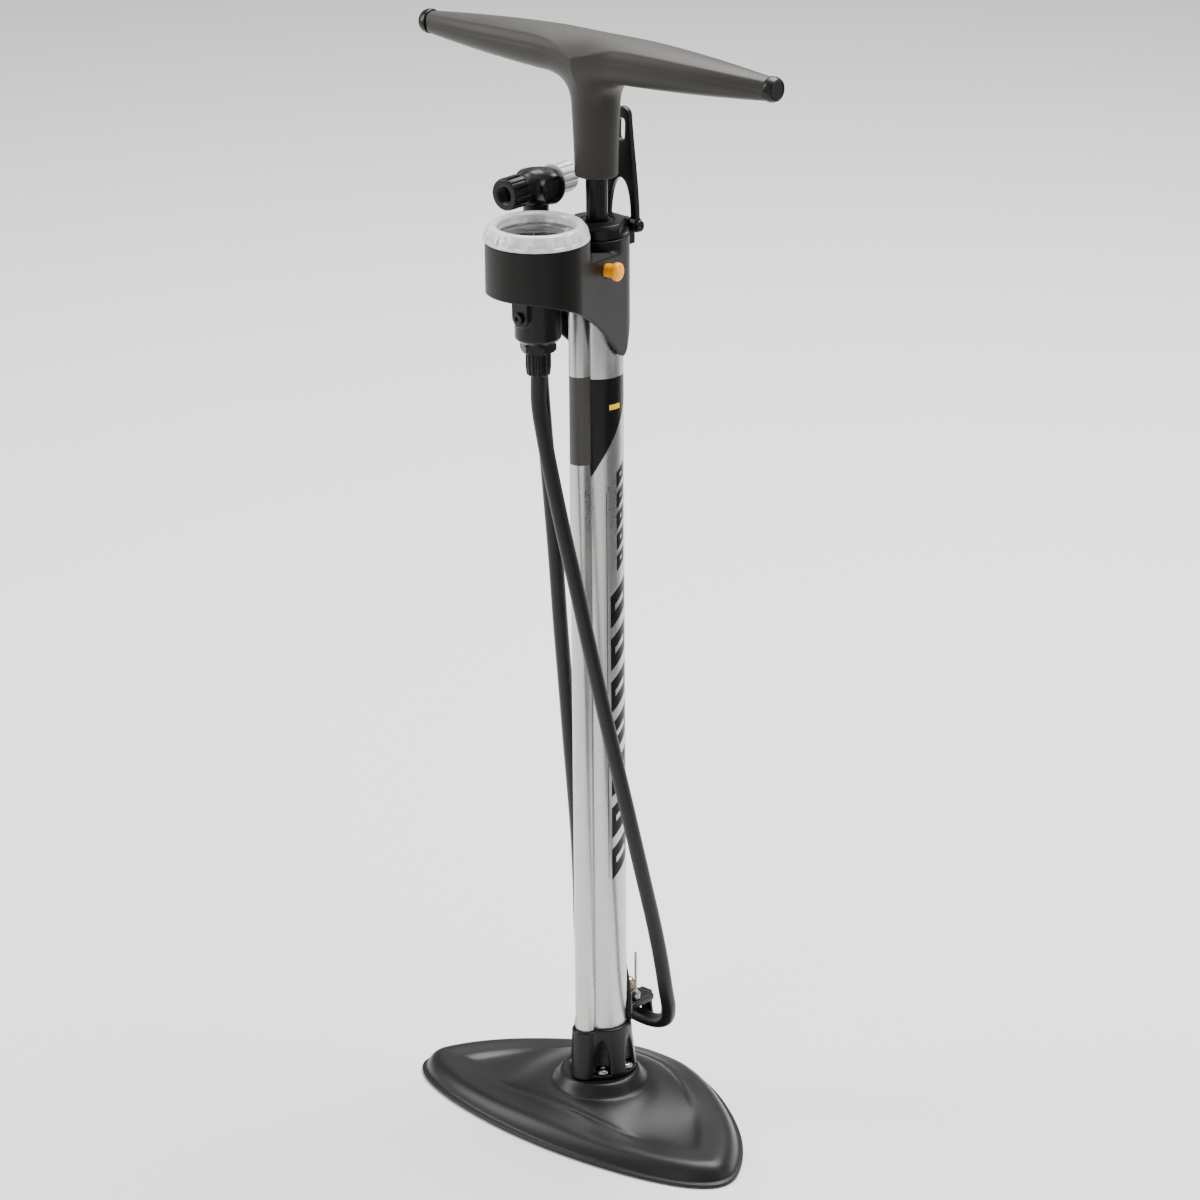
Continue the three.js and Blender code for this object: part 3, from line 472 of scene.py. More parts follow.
# Foot: a pressed shell with a rolled rim and a low dome under the socket
foot = {
    "half": [(0, -63.4), (42, -60.8), (82, -53), (105, -43.5), (115.6, -33.5), (117.5, -23), (112, -9),
             (96, 13), (72, 34.5), (42, 53.5), (18, 62.5)],
    "tail": (0, 64),
    "centre": (0.0, -3.0),
    "around": 360,
    "sheetThickness": 2.2,
    # distance in from the edge, height
    "rim": [(0, 1.0), (0, 1.9), (0.15, 2.3), (0.5, 2.55), (1.1, 2.6), (1.9, 2.65), (2.5, 2.9), (2.9, 3.5),
            (3.3, 4.4), (3.9, 5.8), (4.8, 7.4), (6.0, 9.0), (7.4, 10.3), (9.0, 11.2), (10.6, 11.65),
            (12.4, 11.8), (14.4, 11.75), (16.6, 11.6), (19, 11.4), (21.5, 11.15)],
    "panLevel": 9.0,
    "moundReach": 27.0,
    "moundRise": 9.5,
    "domeTop": 27.0,
}


def insetOf(points, outline):
    # distance from each point to the nearest part of the outline
    nearest = np.full(len(points), 1e9)
    ends = np.roll(outline, -1, 0)
    for start in range(0, len(outline), 60):
        a, b = outline[start:start + 60], ends[start:start + 60]
        edge = b - a
        offset = points[:, None] - a
        t = np.clip((offset * edge).sum(-1) / (edge**2).sum(-1), 0, 1)
        nearest = np.minimum(nearest, np.linalg.norm(offset - t[..., None] * edge, axis=-1).min(1))
    return nearest


def moundAt(points, inset):
    # a broad mound, exp(-(distance past its shoulder / 26)^2), that fades out over the rim
    reach = np.hypot(points[:, 0] - foot["centre"][0], points[:, 1] - foot["centre"][1])
    spread = np.exp(-(np.maximum(reach - foot["moundReach"], 0) / 26) ** 2)
    return foot["moundRise"] * spread * easeBetween(2, 30, inset)


def footHeight(points, inset):
    # rim crest, then a soft step down into the pan that only shows towards the tips, then the mound
    away = easeBetween(34, 72, np.abs(points[:, 0]))
    crest = 11.15 - 1.2 * easeBetween(21.5, 48, inset)
    level = crest + (foot["panLevel"] - crest) * easeBetween(20, 31, inset) * away
    return level + moundAt(points, inset)


def domeAt(points):
    reach = np.hypot(points[:, 0] - foot["centre"][0], points[:, 1] - foot["centre"][1])
    return (foot["domeTop"] - foot["panLevel"] - foot["moundRise"] - 0.6) * easeBetween(29.5, 21.5, reach)


def pressedLevel(outline):
    # the press leaves no fold line: heights on a 1 mm grid are blurred by exp(-(distance / 6)^2), then read
    # back between the four nearest grid points
    acrossLine, alongLine = np.arange(-122, 123.0), np.arange(-70, 71.0)
    grid = np.stack(np.meshgrid(acrossLine, alongLine, indexing="ij"), -1).reshape(-1, 2)
    level = footHeight(grid, insetOf(grid, outline)).reshape(len(acrossLine), len(alongLine))
    bell = np.exp(-(np.arange(-14, 15) / 6) ** 2)
    for axis in (0, 1):
        level = np.apply_along_axis(lambda row: np.convolve(np.pad(row, 14, "edge"), bell / bell.sum(),
                                                            "valid"),
                                    axis, level)

    def readAt(points):
        across, along = points[:, 0] - acrossLine[0], points[:, 1] - alongLine[0]
        i, j = across.astype(int), along.astype(int)
        s, t = across - i, along - j
        return ((level[i, j] * (1 - s) + level[i + 1, j] * s) * (1 - t)
                + (level[i, j + 1] * (1 - s) + level[i + 1, j + 1] * s) * t)
    return readAt


def footSkin():
    half = foot["half"]
    loop = half + [foot["tail"]] + [(-x, y) for x, y in half[:0:-1]]
    outline = evenly(np.vstack([smoothRoute(loop, 2000, closed=True), loop[:1]]), foot["around"] + 1)[:-1]
    fine = evenly(np.vstack([outline, outline[:1]]), 541)[:-1]
    centre = np.array(foot["centre"])
    rays = centre - outline
    shares = np.r_[np.linspace(0, 0.2, 26), np.linspace(0.22, 0.75, 34)]
    along = outline[:, None] + rays[:, None] * shares[None, :, None]
    insets = insetOf(along.reshape(-1, 2), fine).reshape(len(outline), -1)
    rings = []
    for inset, height in foot["rim"]:
        share = np.array([np.interp(inset, row, shares) for row in insets])
        flat = outline + rays * share[:, None]
        rings.append(np.c_[flat, height + moundAt(flat, np.full(len(flat), float(inset)))])
    last = rings[-1][:, :2]
    rimEnd = rings[-1][:, 2]
    pressed = pressedLevel(fine)
    for share in np.linspace(0, 1, 64)[1:-1]:
        flat = last + (centre - last) * share
        join = easeBetween(0, 0.12, np.full(len(flat), share))
        level = pressed(flat) * join + (1 - join) * rimEnd
        rings.append(np.c_[flat, np.minimum(level + domeAt(flat), foot["domeTop"])])
    top = np.array(rings)
    under = top[6::3].copy()[::-1]
    inward = centre - under[:, :, :2]
    length = np.maximum(np.linalg.norm(inward, axis=-1, keepdims=True), 1e-6)
    under[:, :, :2] += inward / length * np.minimum(0.8, length * 0.5)
    under[:, :, 2] = np.maximum(under[:, :, 2] - foot["sheetThickness"], 1.0)
    hem = np.c_[outline + rays * 0.026, np.full(len(outline), 1.0)][None]
    grid = np.concatenate([top, under, hem])
    # the sheet's two faces meet at the outer edge, so the rows close on themselves; the middle gets two fans
    rows, around = grid.shape[:2]
    index = np.arange(rows * around).reshape(rows, around)
    faces = []
    for low, high in ((index[:len(top) - 1], index[1:len(top)]), (index[len(top):-1], index[len(top) + 1:]),
                      (index[-1:], index[:1])):
        faces += np.stack([low, np.roll(low, -1, 1), np.roll(high, -1, 1), high], -1).reshape(-1, 4).tolist()
    points = grid.reshape(-1, 3)
    for row, turn in ((len(top) - 1, 1), (len(top), -1)):
        ring = index[row]
        fan = np.stack([ring, np.roll(ring, -1), np.full(around, len(points))], -1)[:, ::turn]
        points = np.vstack([points, points[ring].mean(0)])
        faces += fan.tolist()
    return points, faces


addPiece("footShell", *footSkin(), powderCoat, "base_plate", "foot_paint", crease=55)
padPlaces = {"foot_pad_left": (-92, -27), "foot_pad_right": (92, -27), "foot_pad_rear": (0, 47)}
padProfile = rounded([(0, 0.5), (4.5, 0.5, 0.3), (5.2, 0, 0.3), (7.4, 0), (8, 0.8), (8, 6.6), (0, 6.6)], 0.5)
for node, (x, y) in padPlaces.items():
    addPiece(node + "_turned", *turnedGrid(padProfile, 64, centre=(x, y, 0)), plainRubber, node, "rubber")
print("foot pressed")


# Barrel: one extrusion, the pump bore with a small air tube in front
barrel = {"radius": 14.3, "bore": 12.9, "airRadius": 6.2, "airY": -15.3, "low": 36, "high": 536,
          "airHigh": 517.7}


def barrelOutline(count=260):
    # reach = the farther of the big circle and the small one along each ray, with a narrow fillet between
    off = np.r_[np.linspace(-30, 30, 120), np.linspace(30, 330, count - 119)[1:-1]]
    angle = np.radians(off - 90)
    offset = np.radians(off)
    inside = np.maximum(barrel["airRadius"] ** 2 - (barrel["airY"] * np.sin(offset)) ** 2, 0)
    small = np.where(np.cos(offset) > 0, -barrel["airY"] * np.cos(offset) + np.sqrt(inside), 0)
    small = np.where(np.abs(off) > 23.8, 9, small)
    reach = blendMax(np.full_like(small, barrel["radius"]), small, 0.7)
    reach = np.minimum(reach, np.where(np.abs(off) > 27, barrel["radius"], reach))
    return reach, angle


def barrelSkin():
    reach, angle = barrelOutline()
    low, high, airHigh = barrel["low"], barrel["high"], barrel["airHigh"]
    outerRows = [(low, -0.3), (low + 0.3, 0)] + [(z, 0) for z in np.linspace(60, airHigh - 0.6, 8)]
    outerRows += [(airHigh, -0.3), (airHigh, None), (high - 0.3, None), (high, "in")]
    rows = []
    for z, change in outerRows:
        size = {None: np.minimum(reach, barrel["radius"]), "in": np.full_like(reach, barrel["radius"] - 0.3)}
        ring = size[change] if change in size else reach + change
        rows.append(np.stack([ring * np.cos(angle), ring * np.sin(angle), np.full_like(ring, z)], -1))
    for z in (high, high - 0.4, low + 0.4, low):
        ring = np.full_like(reach, barrel["bore"])
        rows.append(np.stack([ring * np.cos(angle), ring * np.sin(angle), np.full_like(ring, z)], -1))
    return skin(np.array(rows), ringRows=True)


def spanSteps(name, value, low, high):
    # rows for a sum that is 1 between two limits and 0 outside
    return [(name + "Above", "GREATER_THAN", value, low), (name + "Below", "LESS_THAN", value, high),
            (name, "MULTIPLY", name + "Above", name + "Below")]


def barSteps(name, low, step, count, left, right):
    # rows for a stack of slanted bars, each with a narrow slot: bar = (height modulo step) < 0.74 step
    return [
        (name + "Rise", "SUBTRACT", "slant", low - 10 * step),
        (name + "Phase", "MODULO", name + "Rise", step),
        (name + "Solid", "LESS_THAN", name + "Phase", step * 0.74),
        *spanSteps(name + "Width", "turn", left, right),
        (name + "Block", "MULTIPLY", name + "Solid", name + "Width"),
        *spanSteps(name + "SlotHeight", name + "Phase", step * 0.30, step * 0.44),
        *spanSteps(name + "SlotWidth", "turn", left + 12, right - 10),
        (name + "Slot", "MULTIPLY", name + "SlotHeight", name + "SlotWidth"),
        (name + "Cut", "SUBTRACT", name + "Block", name + "Slot"),
        *spanSteps(name + "Reach", "slant", low, low + step * count),
        (name + "Row", "MULTIPLY", name + "Cut", name + "Reach"),
        (name + "Bars", "MULTIPLY", name + "Row", "onMain"),
    ]


# Where the print sits: heights in metres, turns in degrees from straight ahead towards +x
barrelPrint = {
    "black": "#0f0e0e", "grey": "#434240", "yellow": "#e8c412",
    "airTubeFront": -0.0133,
    "mainBand": (0.3935, 0.4610), "bandSlope": 0.00042,
    "airBand": (0.4116, 0.4632),
    "line": ((0.156, 0.394), (57, 58.6)),
    "slantSlope": -0.00022,
    # lowest edge, step, count, left turn, right turn
    "bigBars": (0.140, 0.0262, 7, 66, 118),
    "smallBars": (0.327, 0.0125, 5, 84, 112),
    "mark": ((0.4425, 0.4455), (66, 96)),
}


def makeBarrelFinish():
    # Extruded aluminium, satin anodised, with screen-printed bands and dashes: the metal shows long fine
    # draw lines and a sparkle of etched grain, and the ink sits on it as flat satin black
    material, shader, tone, gloss, bump, place = surfaceOf(
        "satinAnodised", ("#b4b4b3", "#c3c3c2"), (0.30, 0.38), 0.35, 0.0025, clouds=30, stretch=(1, 1, 8),
        Specular_IOR_Level=0.2)
    links = material.node_tree.links
    grit = addNode(material, "TexNoise", {"Scale": 1000 / 1.4, "Detail": 1.0},
                   {"Vector": place.outputs["Object"]})
    parts = addNode(material, "SeparateXYZ", links={0: place.outputs["Object"]})
    # each row: what the sum is called, the operation, and its inputs as numbers or earlier names
    steps = [
        ("centredY", "SUBTRACT", "y", axisBack / 1000),
        ("onAirTube", "LESS_THAN", "centredY", barrelPrint["airTubeFront"]),
        ("onMain", "SUBTRACT", 1, "onAirTube"),
        ("ahead", "MULTIPLY", "centredY", -1),
        ("angle", "ARCTAN2", "x", "ahead"),
        ("turn", "MULTIPLY", "angle", 180 / np.pi),
        ("bandLow", "MULTIPLY_ADD", "turn", barrelPrint["bandSlope"], barrelPrint["mainBand"][0]),
        *spanSteps("bandHeight", "z", "bandLow", barrelPrint["mainBand"][1]),
        ("mainBand", "MULTIPLY", "bandHeight", "onMain"),
        *spanSteps("airHeight", "z", *barrelPrint["airBand"]),
        ("airBand", "MULTIPLY", "airHeight", "onAirTube"),
        ("slant", "MULTIPLY_ADD", "turn", barrelPrint["slantSlope"], "z"),
        *spanSteps("lineHeight", "z", *barrelPrint["line"][0]),
        *spanSteps("lineWidth", "turn", *barrelPrint["line"][1]),
        ("line", "MULTIPLY", "lineHeight", "lineWidth"),
        *barSteps("big", *barrelPrint["bigBars"]),
        *barSteps("small", *barrelPrint["smallBars"]),
        ("lineOrBig", "MAXIMUM", "line", "bigBars"),
        ("stripes", "MAXIMUM", "lineOrBig", "smallBars"),
        *spanSteps("markHeight", "z", *barrelPrint["mark"][0]),
        *spanSteps("markWidth", "turn", *barrelPrint["mark"][1]),
        ("markArea", "MULTIPLY", "markHeight", "markWidth"),
        ("mark", "MULTIPLY", "markArea", "onMain"),
        ("black", "MAXIMUM", "mainBand", "stripes"),
        ("inked", "MAXIMUM", "black", "airBand"),
        ("bare", "SUBTRACT", 1, "inked"),
    ]
    sums = dict(zip("xyz", parts.outputs))
    for name, operation, *inputs in steps:
        numbers = {i: value for i, value in enumerate(inputs) if not isinstance(value, str)}
        joins = {i: sums[value] for i, value in enumerate(inputs) if isinstance(value, str)}
        sums[name] = addNode(material, "Math", {"operation": operation, **numbers}, joins).outputs[0]
    inks = [(sums["black"], barrelPrint["black"]), (sums["airBand"], barrelPrint["grey"]),
            (sums["mark"], barrelPrint["yellow"])]
    paint = tone.outputs["Color"]
    # each ink covers what lies below it wherever its mask is 1
    for mask, colour in inks:
        mix = addNode(material, "Mix", {"data_type": "RGBA", 7: hexColour(colour)},
                      {"Factor": mask, 6: paint})
        paint = mix.outputs[2]
    links.new(paint, shader.inputs["Base Color"])
    links.new(sums["bare"], shader.inputs["Metallic"])
    sparkle = addNode(material, "MapRange",
                      {"From Min": 0.3, "From Max": 0.7, "To Min": -0.05, "To Max": 0.05},
                      {"Value": grit.outputs["Fac"]})
    rough = addNode(material, "Math", {"operation": "ADD"},
                    {0: gloss.outputs["Result"], 1: sparkle.outputs["Result"]})
    links.new(rough.outputs[0], shader.inputs["Roughness"])
    return material


satinAnodised = makeBarrelFinish()
addPiece("barrelExtrusion", *barrelSkin(), satinAnodised, "barrel", "silver_aluminium", crease=30)
print("barrel drawn")


# Socket that clamps the barrel to the foot, with four screws in scallops
socket = {
    "low": 27.3, "high": 58.0, "boltCircle": 15.4, "boltAngles": (-50, 10, 170, 230),
    "skirt": [(27.3, 19.7), (30, 19.7), (40, 18.5), (50, 17.4), (56.6, 16.75), (58, 16.6)],
    "boss": [(27.3, 9.2), (30, 9.15), (57.2, 8.3), (58, 8.2)],
}
boltPlaces = [(socket["boltCircle"] * np.cos(np.radians(a)), socket["boltCircle"] * np.sin(np.radians(a)))
              for a in socket["boltAngles"]]


def socketField(x, y, z):
    skirt = disk(x, y, 0) - np.interp(z, *np.array(socket["skirt"]).T)
    boss = disk(x, y, 0, 0, barrel["airY"]) - np.interp(z, *np.array(socket["boss"]).T)
    body = blendMin(skirt, boss, 1.0)
    for px, py in boltPlaces:
        out = 21.6 / socket["boltCircle"]
        # a tall tear-drop scallop that narrows upwards, over a round seat for the screw
        wide = np.interp(z, [29, 35, 40, 45, 50, 54, 56], [5.6, 5.9, 5.9, 5.6, 4.9, 3.9, 2.2])
        scallop = np.maximum(disk(x, y, 0, px * out, py * out) - wide, 29.8 - z)
        seat = np.maximum(disk(x, y, 4.5, px, py), between(z, 29.8, 34.5))
        body = blendMax(body, -np.minimum(scallop, seat), 0.7)
        body = np.maximum(body, -np.maximum(disk(x, y, 2.1, px, py), z - 31))
    body = blendMax(body, between(z, socket["low"], socket["high"]), 1.0)
    bores = np.minimum(disk(x, y, barrel["radius"] + 0.3),
                       disk(x, y, barrel["airRadius"] + 0.3, 0, barrel["airY"]))
    return blendMax(body, -np.maximum(bores, 35.7 - z), 0.5)


addMoulded("footSocket", socketField, (-20, -25, 27.3), (20, 20, 58), 0.5, smoothNylon, "socket",
           "black_plastic")


screwProfile = rounded([(0, 18), (1.8, 18), (1.8, 30.3, 0.1), (4.1, 30.3, 0.2), (4.1, 31.2, 0.4),
                        (3.3, 32.5, 0.6),
                        (1.6, 32.8, 0.1), (1.2, 31.6, 0.1), (0, 31.4)], 0.3)
for i, (px, py) in enumerate(boltPlaces):
    node = f"socket_bolt_{i + 1}"
    addPiece(f"socketScrew{i + 1}", *turnedGrid(screwProfile, 48, centre=(px, py, 0)), drawnSteel, node,
             "steel")
print("socket moulded")


# Upper housing: gauge cup, saddle and collar in one moulding, with a tongue that sweeps down the barrel
housing = {
    "gaugeY": -50.0, "cup": 28.3, "collar": 18.0, "wall": 2.2,
    "cupTop": 549.0, "collarTop": 541.0, "cavityTop": 524.0,
    "pocket": 26.2, "pocketLow": 524.2,
    # y, height of the lower edge
    "lowerEdge": [(-90, 520.2), (-72, 519.8), (-64, 517.6), (-55, 514.4), (-46.3, 510.3), (-37.5, 505.1),
                  (-28.6, 499),
                  (-19.6, 491.6), (-12.8, 485.1), (-6, 478.2), (-1.4, 474.4), (1.4, 473.4), (4.2, 475),
                  (6.8, 479.9), (9.5, 486), (14, 492.5), (20, 497), (30, 500)],
    "latchY": 20.7, "latchZ": 542.5,
    "dock": (-31.0, -15.0), "dockLow": 527.6, "dockHigh": 534.7,
    "buttonY": -17.5, "buttonZ": 528.0,
}
gaugeY = housing["gaugeY"]
wallLean = np.arcsin((housing["cup"] - housing["collar"]) / -gaugeY)
buttonX = (housing["collar"] - housing["buttonY"] * np.sin(wallLean)) / np.cos(wallLean)
lowerEdge = smoothRoute(housing["lowerEdge"], 400)


def twoCircleHull(x, y, collar, cup):
    # distance to the outline that wraps a small circle at the barrel and a big one at the gauge
    across, along = np.abs(x), -y
    lean = (collar - cup) / -gaugeY
    level = np.sqrt(1 - lean * lean)
    side = across * level + along * lean
    foot = -across * lean + along * level
    nearCollar = np.hypot(across, along) - collar
    nearCup = np.hypot(across, along + gaugeY) - cup
    return np.where(foot < 0, nearCollar, np.where(foot > -gaugeY * level, nearCup, side - collar))


def aroundButton(x, y, z):
    # lengths along and across the button's own line, which stands square to the leaning wall
    ahead = (x - buttonX) * np.cos(wallLean) + (y - housing["buttonY"]) * np.sin(wallLean)
    across = -(x - buttonX) * np.sin(wallLean) + (y - housing["buttonY"]) * np.cos(wallLean)
    return ahead, np.hypot(across, z - housing["buttonZ"])


def housingField(x, y, z):
    hull = twoCircleHull(x, y, housing["collar"], housing["cup"])
    inward = np.maximum(-hull, 0)
    wallTop = 532.8 + (1.7 - y) * 0.095
    ridge = np.clip((1.7 - y) * 0.125, 0.15, 5)
    beyond = np.maximum(inward - ridge / 0.62 - 0.8, 0)
    saddleTop = wallTop + np.minimum(inward * 0.62, ridge) - np.minimum(beyond * 0.9, ridge + 2.4)
    cup = blendMax(disk(x, y, housing["cup"] + 0.7, 0, gaugeY), z - housing["cupTop"], 0.5)
    collar = disk(x, y, housing["collar"] + 0.7)
    collar = blendMax(collar, z - housing["collarTop"], 0.3)
    tops = blendMin(blendMin((z - saddleTop) * 0.8, cup, 1.2), collar, 1.6)
    body = blendMax(hull, tops, 0.65)
    cavity = np.maximum(twoCircleHull(x, y, housing["collar"] - housing["wall"],
                                      housing["cup"] - housing["wall"]),
                        z - housing["cavityTop"])
    body = blendMax(body, -cavity, 0.6)
    seat = np.maximum(disk(x, y, 17.6), 495 - z)
    channel = np.maximum(disk(x, y, 8.8, 0, barrel["airY"]), between(z, 505, 526))
    bridge = block(x, y, z, (-7, -40, 519.8), (7, -12, 526))
    body = np.minimum(np.minimum(np.minimum(body, np.maximum(seat, z - 530)), channel), bridge)
    under = np.interp(y, lowerEdge[:, 0], lowerEdge[:, 1])
    slope = np.interp(y, lowerEdge[:, 0], np.gradient(lowerEdge[:, 1], lowerEdge[:, 0]))
    body = blendMax(body, (under - z) / np.sqrt(1 + slope**2), 0.7)
    pinLine = np.hypot(y - housing["latchY"], z - housing["latchZ"])
    lug = np.minimum(np.maximum(pinLine - 4, np.abs(x) - 7.2),
                     block(x, y, z, (-7.2, 14, 531), (7.2, 24.2, 542.5)))
    lug = np.maximum(lug, -np.maximum(disk(x, y, 17.7), housing["collarTop"] - z))
    body = blendMin(body, lug, 0.8)
    dockX, dockY = housing["dock"]
    ring = np.maximum(disk(x, y, 9.4, dockX, dockY), between(z, housing["dockLow"], housing["dockHigh"]))
    arm = block(x, y, z, (dockX + 7, dockY - 5.5, housing["dockLow"]),
                (-18, dockY + 4.5, housing["dockHigh"]), 0.8)
    dock = blendMin(ring, arm, 1.0)
    slot = block(x, y, z, (dockX - 20, dockY - 3.9, 515), (dockX, dockY + 3.9, 545), 0.3)
    dock = blendMax(dock, -np.minimum(disk(x, y, 6.4, dockX, dockY), slot), 0.5)
    body = blendMin(body, dock, 1.2)
    bore = np.maximum(disk(x, y, barrel["radius"] + 0.3), z - barrel["high"] - 0.3)
    skirtBore = np.maximum(disk(x, y, 12.9), 530 - z)
    airBore = np.maximum(disk(x, y, barrel["airRadius"] + 0.3, 0, barrel["airY"]), z - 518)
    pocket = np.maximum(disk(x, y, housing["pocket"], 0, gaugeY), housing["pocketLow"] - z)
    feed = np.maximum(disk(x, y, 4, 0, gaugeY), between(z, 510, 530))
    pin = np.maximum(pinLine - 2.5, np.abs(x) - 12)
    ahead, off = aroundButton(x, y, z)
    stemHole = np.maximum(off - 4.3, between(ahead, -6, 3))
    chamber = np.maximum(off - 5.7, between(ahead, -8.4, -2.4))
    for hole in (bore, skirtBore, airBore, pocket, feed, pin, stemHole, chamber):
        body = blendMax(body, -hole, 0.4)
    return body


addMoulded("upperHousingShell", housingField, (-41, -79, 472), (29, 25.5, 549.2), 0.72, sparkedNylon,
           "upper_housing", "black_plastic")


# Screwed cap on the barrel, with two flats for a spanner
def capReach(angle, radius, height):
    # flats: above the ledge the radius is cut back to a straight line 15.2 mm out, and the rear leaves room
    # for the hinge
    out = radius.copy()
    for turn in (26, 206):
        away = np.abs((angle - np.radians(turn) + np.pi) % (2 * np.pi) - np.pi)
        flat = 15.2 / np.cos(np.minimum(away, 1.2))
        out = np.where((height > 543.4) & (radius > 12),
                       np.minimum(out, flat - (17.3 - np.minimum(radius, 17.3)) * 0.6), out)
    away = np.abs((angle - np.radians(90) + np.pi) % (2 * np.pi) - np.pi)
    return np.where(radius > 12, np.minimum(out, 16.2 / np.cos(np.minimum(away, 1.2))), out)


capProfile = rounded([(6.3, 541.3, 0), (17.0, 541.3, 0), (17.3, 541.6, 0), (17.3, 543.2, 0.15),
                      (17.3, 543.39, 0), (17.3, 543.41, 0),
                      (17.3, 546.9, 0.3), (16.0, 548.9, 0.4), (9.6, 549, 0.3), (9.6, 545.6, 0.1),
                      (6.3, 545.6, 0)], 0.2)
addPiece("rodCap", *turnedGrid(capProfile, 240, closed=True, reach=capReach), smoothNylon, "barrel_cap",
         "black_plastic", crease=24)
wiperProfile = rounded([(6.3, 546), (9.3, 546), (9.3, 548.4), (7.6, 548.6), (6.3, 547.6)], 0.3, closed=True)
addPiece("rodWiper", *turnedGrid(wiperProfile, 96, closed=True), plainRubber, "cap_wiper", "rubber")


# Bleed button: a mushroom on a short stem, square to the wall
buttonProfile = rounded([(0, -5.6), (5.2, -5.6), (5.2, -4.4), (3.9, -4.4), (3.9, 4.4, 0.5), (5.1, 5.0, 0.4),
                         (5.2, 7.4, 0.9), (3.4, 8.75, 1.6), (0, 8.8)], 0.3, steps=6)
points, faces = turnedGrid(buttonProfile, 72, direction="x")
spin = np.array([[np.cos(wallLean), -np.sin(wallLean), 0], [np.sin(wallLean), np.cos(wallLean), 0],
                 [0, 0, 1]])
points = points @ spin.T + np.array([buttonX, housing["buttonY"], housing["buttonZ"]])
addPiece("bleedButton", points, faces, amberAcetal, "release_button", "amber", crease=50)
print("housing moulded")


# Gauge: case, dial, needle, chrome rim, lens and a clear screw-on bezel
def atGauge(profile, around=128, closed=True, reach=None):
    return turnedGrid(profile, around, closed=closed, reach=reach, centre=(0, gaugeY, 0))


caseProfile = rounded([(4.4, 524.5), (25.8, 524.5, 0.8), (25.8, 546), (25, 546), (25, 525.4, 0.6),
                       (4.4, 525.4)],
                      0.15, closed=True)
addPiece("gaugePan", *atGauge(caseProfile), platedSteel, "gauge_case", "steel")


def strokeSteps(name, step, width, low, high):
    # rows for radial strokes: 1 where the arc to the nearest multiple of the step is under the width in mm
    return [
        (name + "Turn", "ADD", "turn", 360 + step / 2),
        (name + "Phase", "MODULO", name + "Turn", step),
        (name + "Past", "SUBTRACT", name + "Phase", step / 2),
        (name + "Away", "ABSOLUTE", name + "Past"),
        (name + "ByRadius", "MULTIPLY", name + "Away", "radius"),
        (name + "Arc", "MULTIPLY", name + "ByRadius", np.pi / 180),
        (name + "Near", "LESS_THAN", name + "Arc", width),
        *spanSteps(name + "Reach", "radius", low, high),
        (name, "MULTIPLY", name + "Near", name + "Reach"),
    ]


# Dial print: turns in degrees, widths and radii in mm
dialPrint = {
    "white": "#f0f0ee", "yellow": "#e9c96a", "black": ("#0c0c0c", "#161615"),
    "scaleEnd": 136,
    # step, half width, inner radius, outer radius
    "fine": (4.5, 0.16, 19.8, 21.6), "bold": (22.5, 0.42, 17.6, 21.6), "inner": (15, 0.25, 10.6, 12.0),
    "ring": (21.6, 22.0),
    "arc": ((12.9, 16.6), (-100, -38)),
}


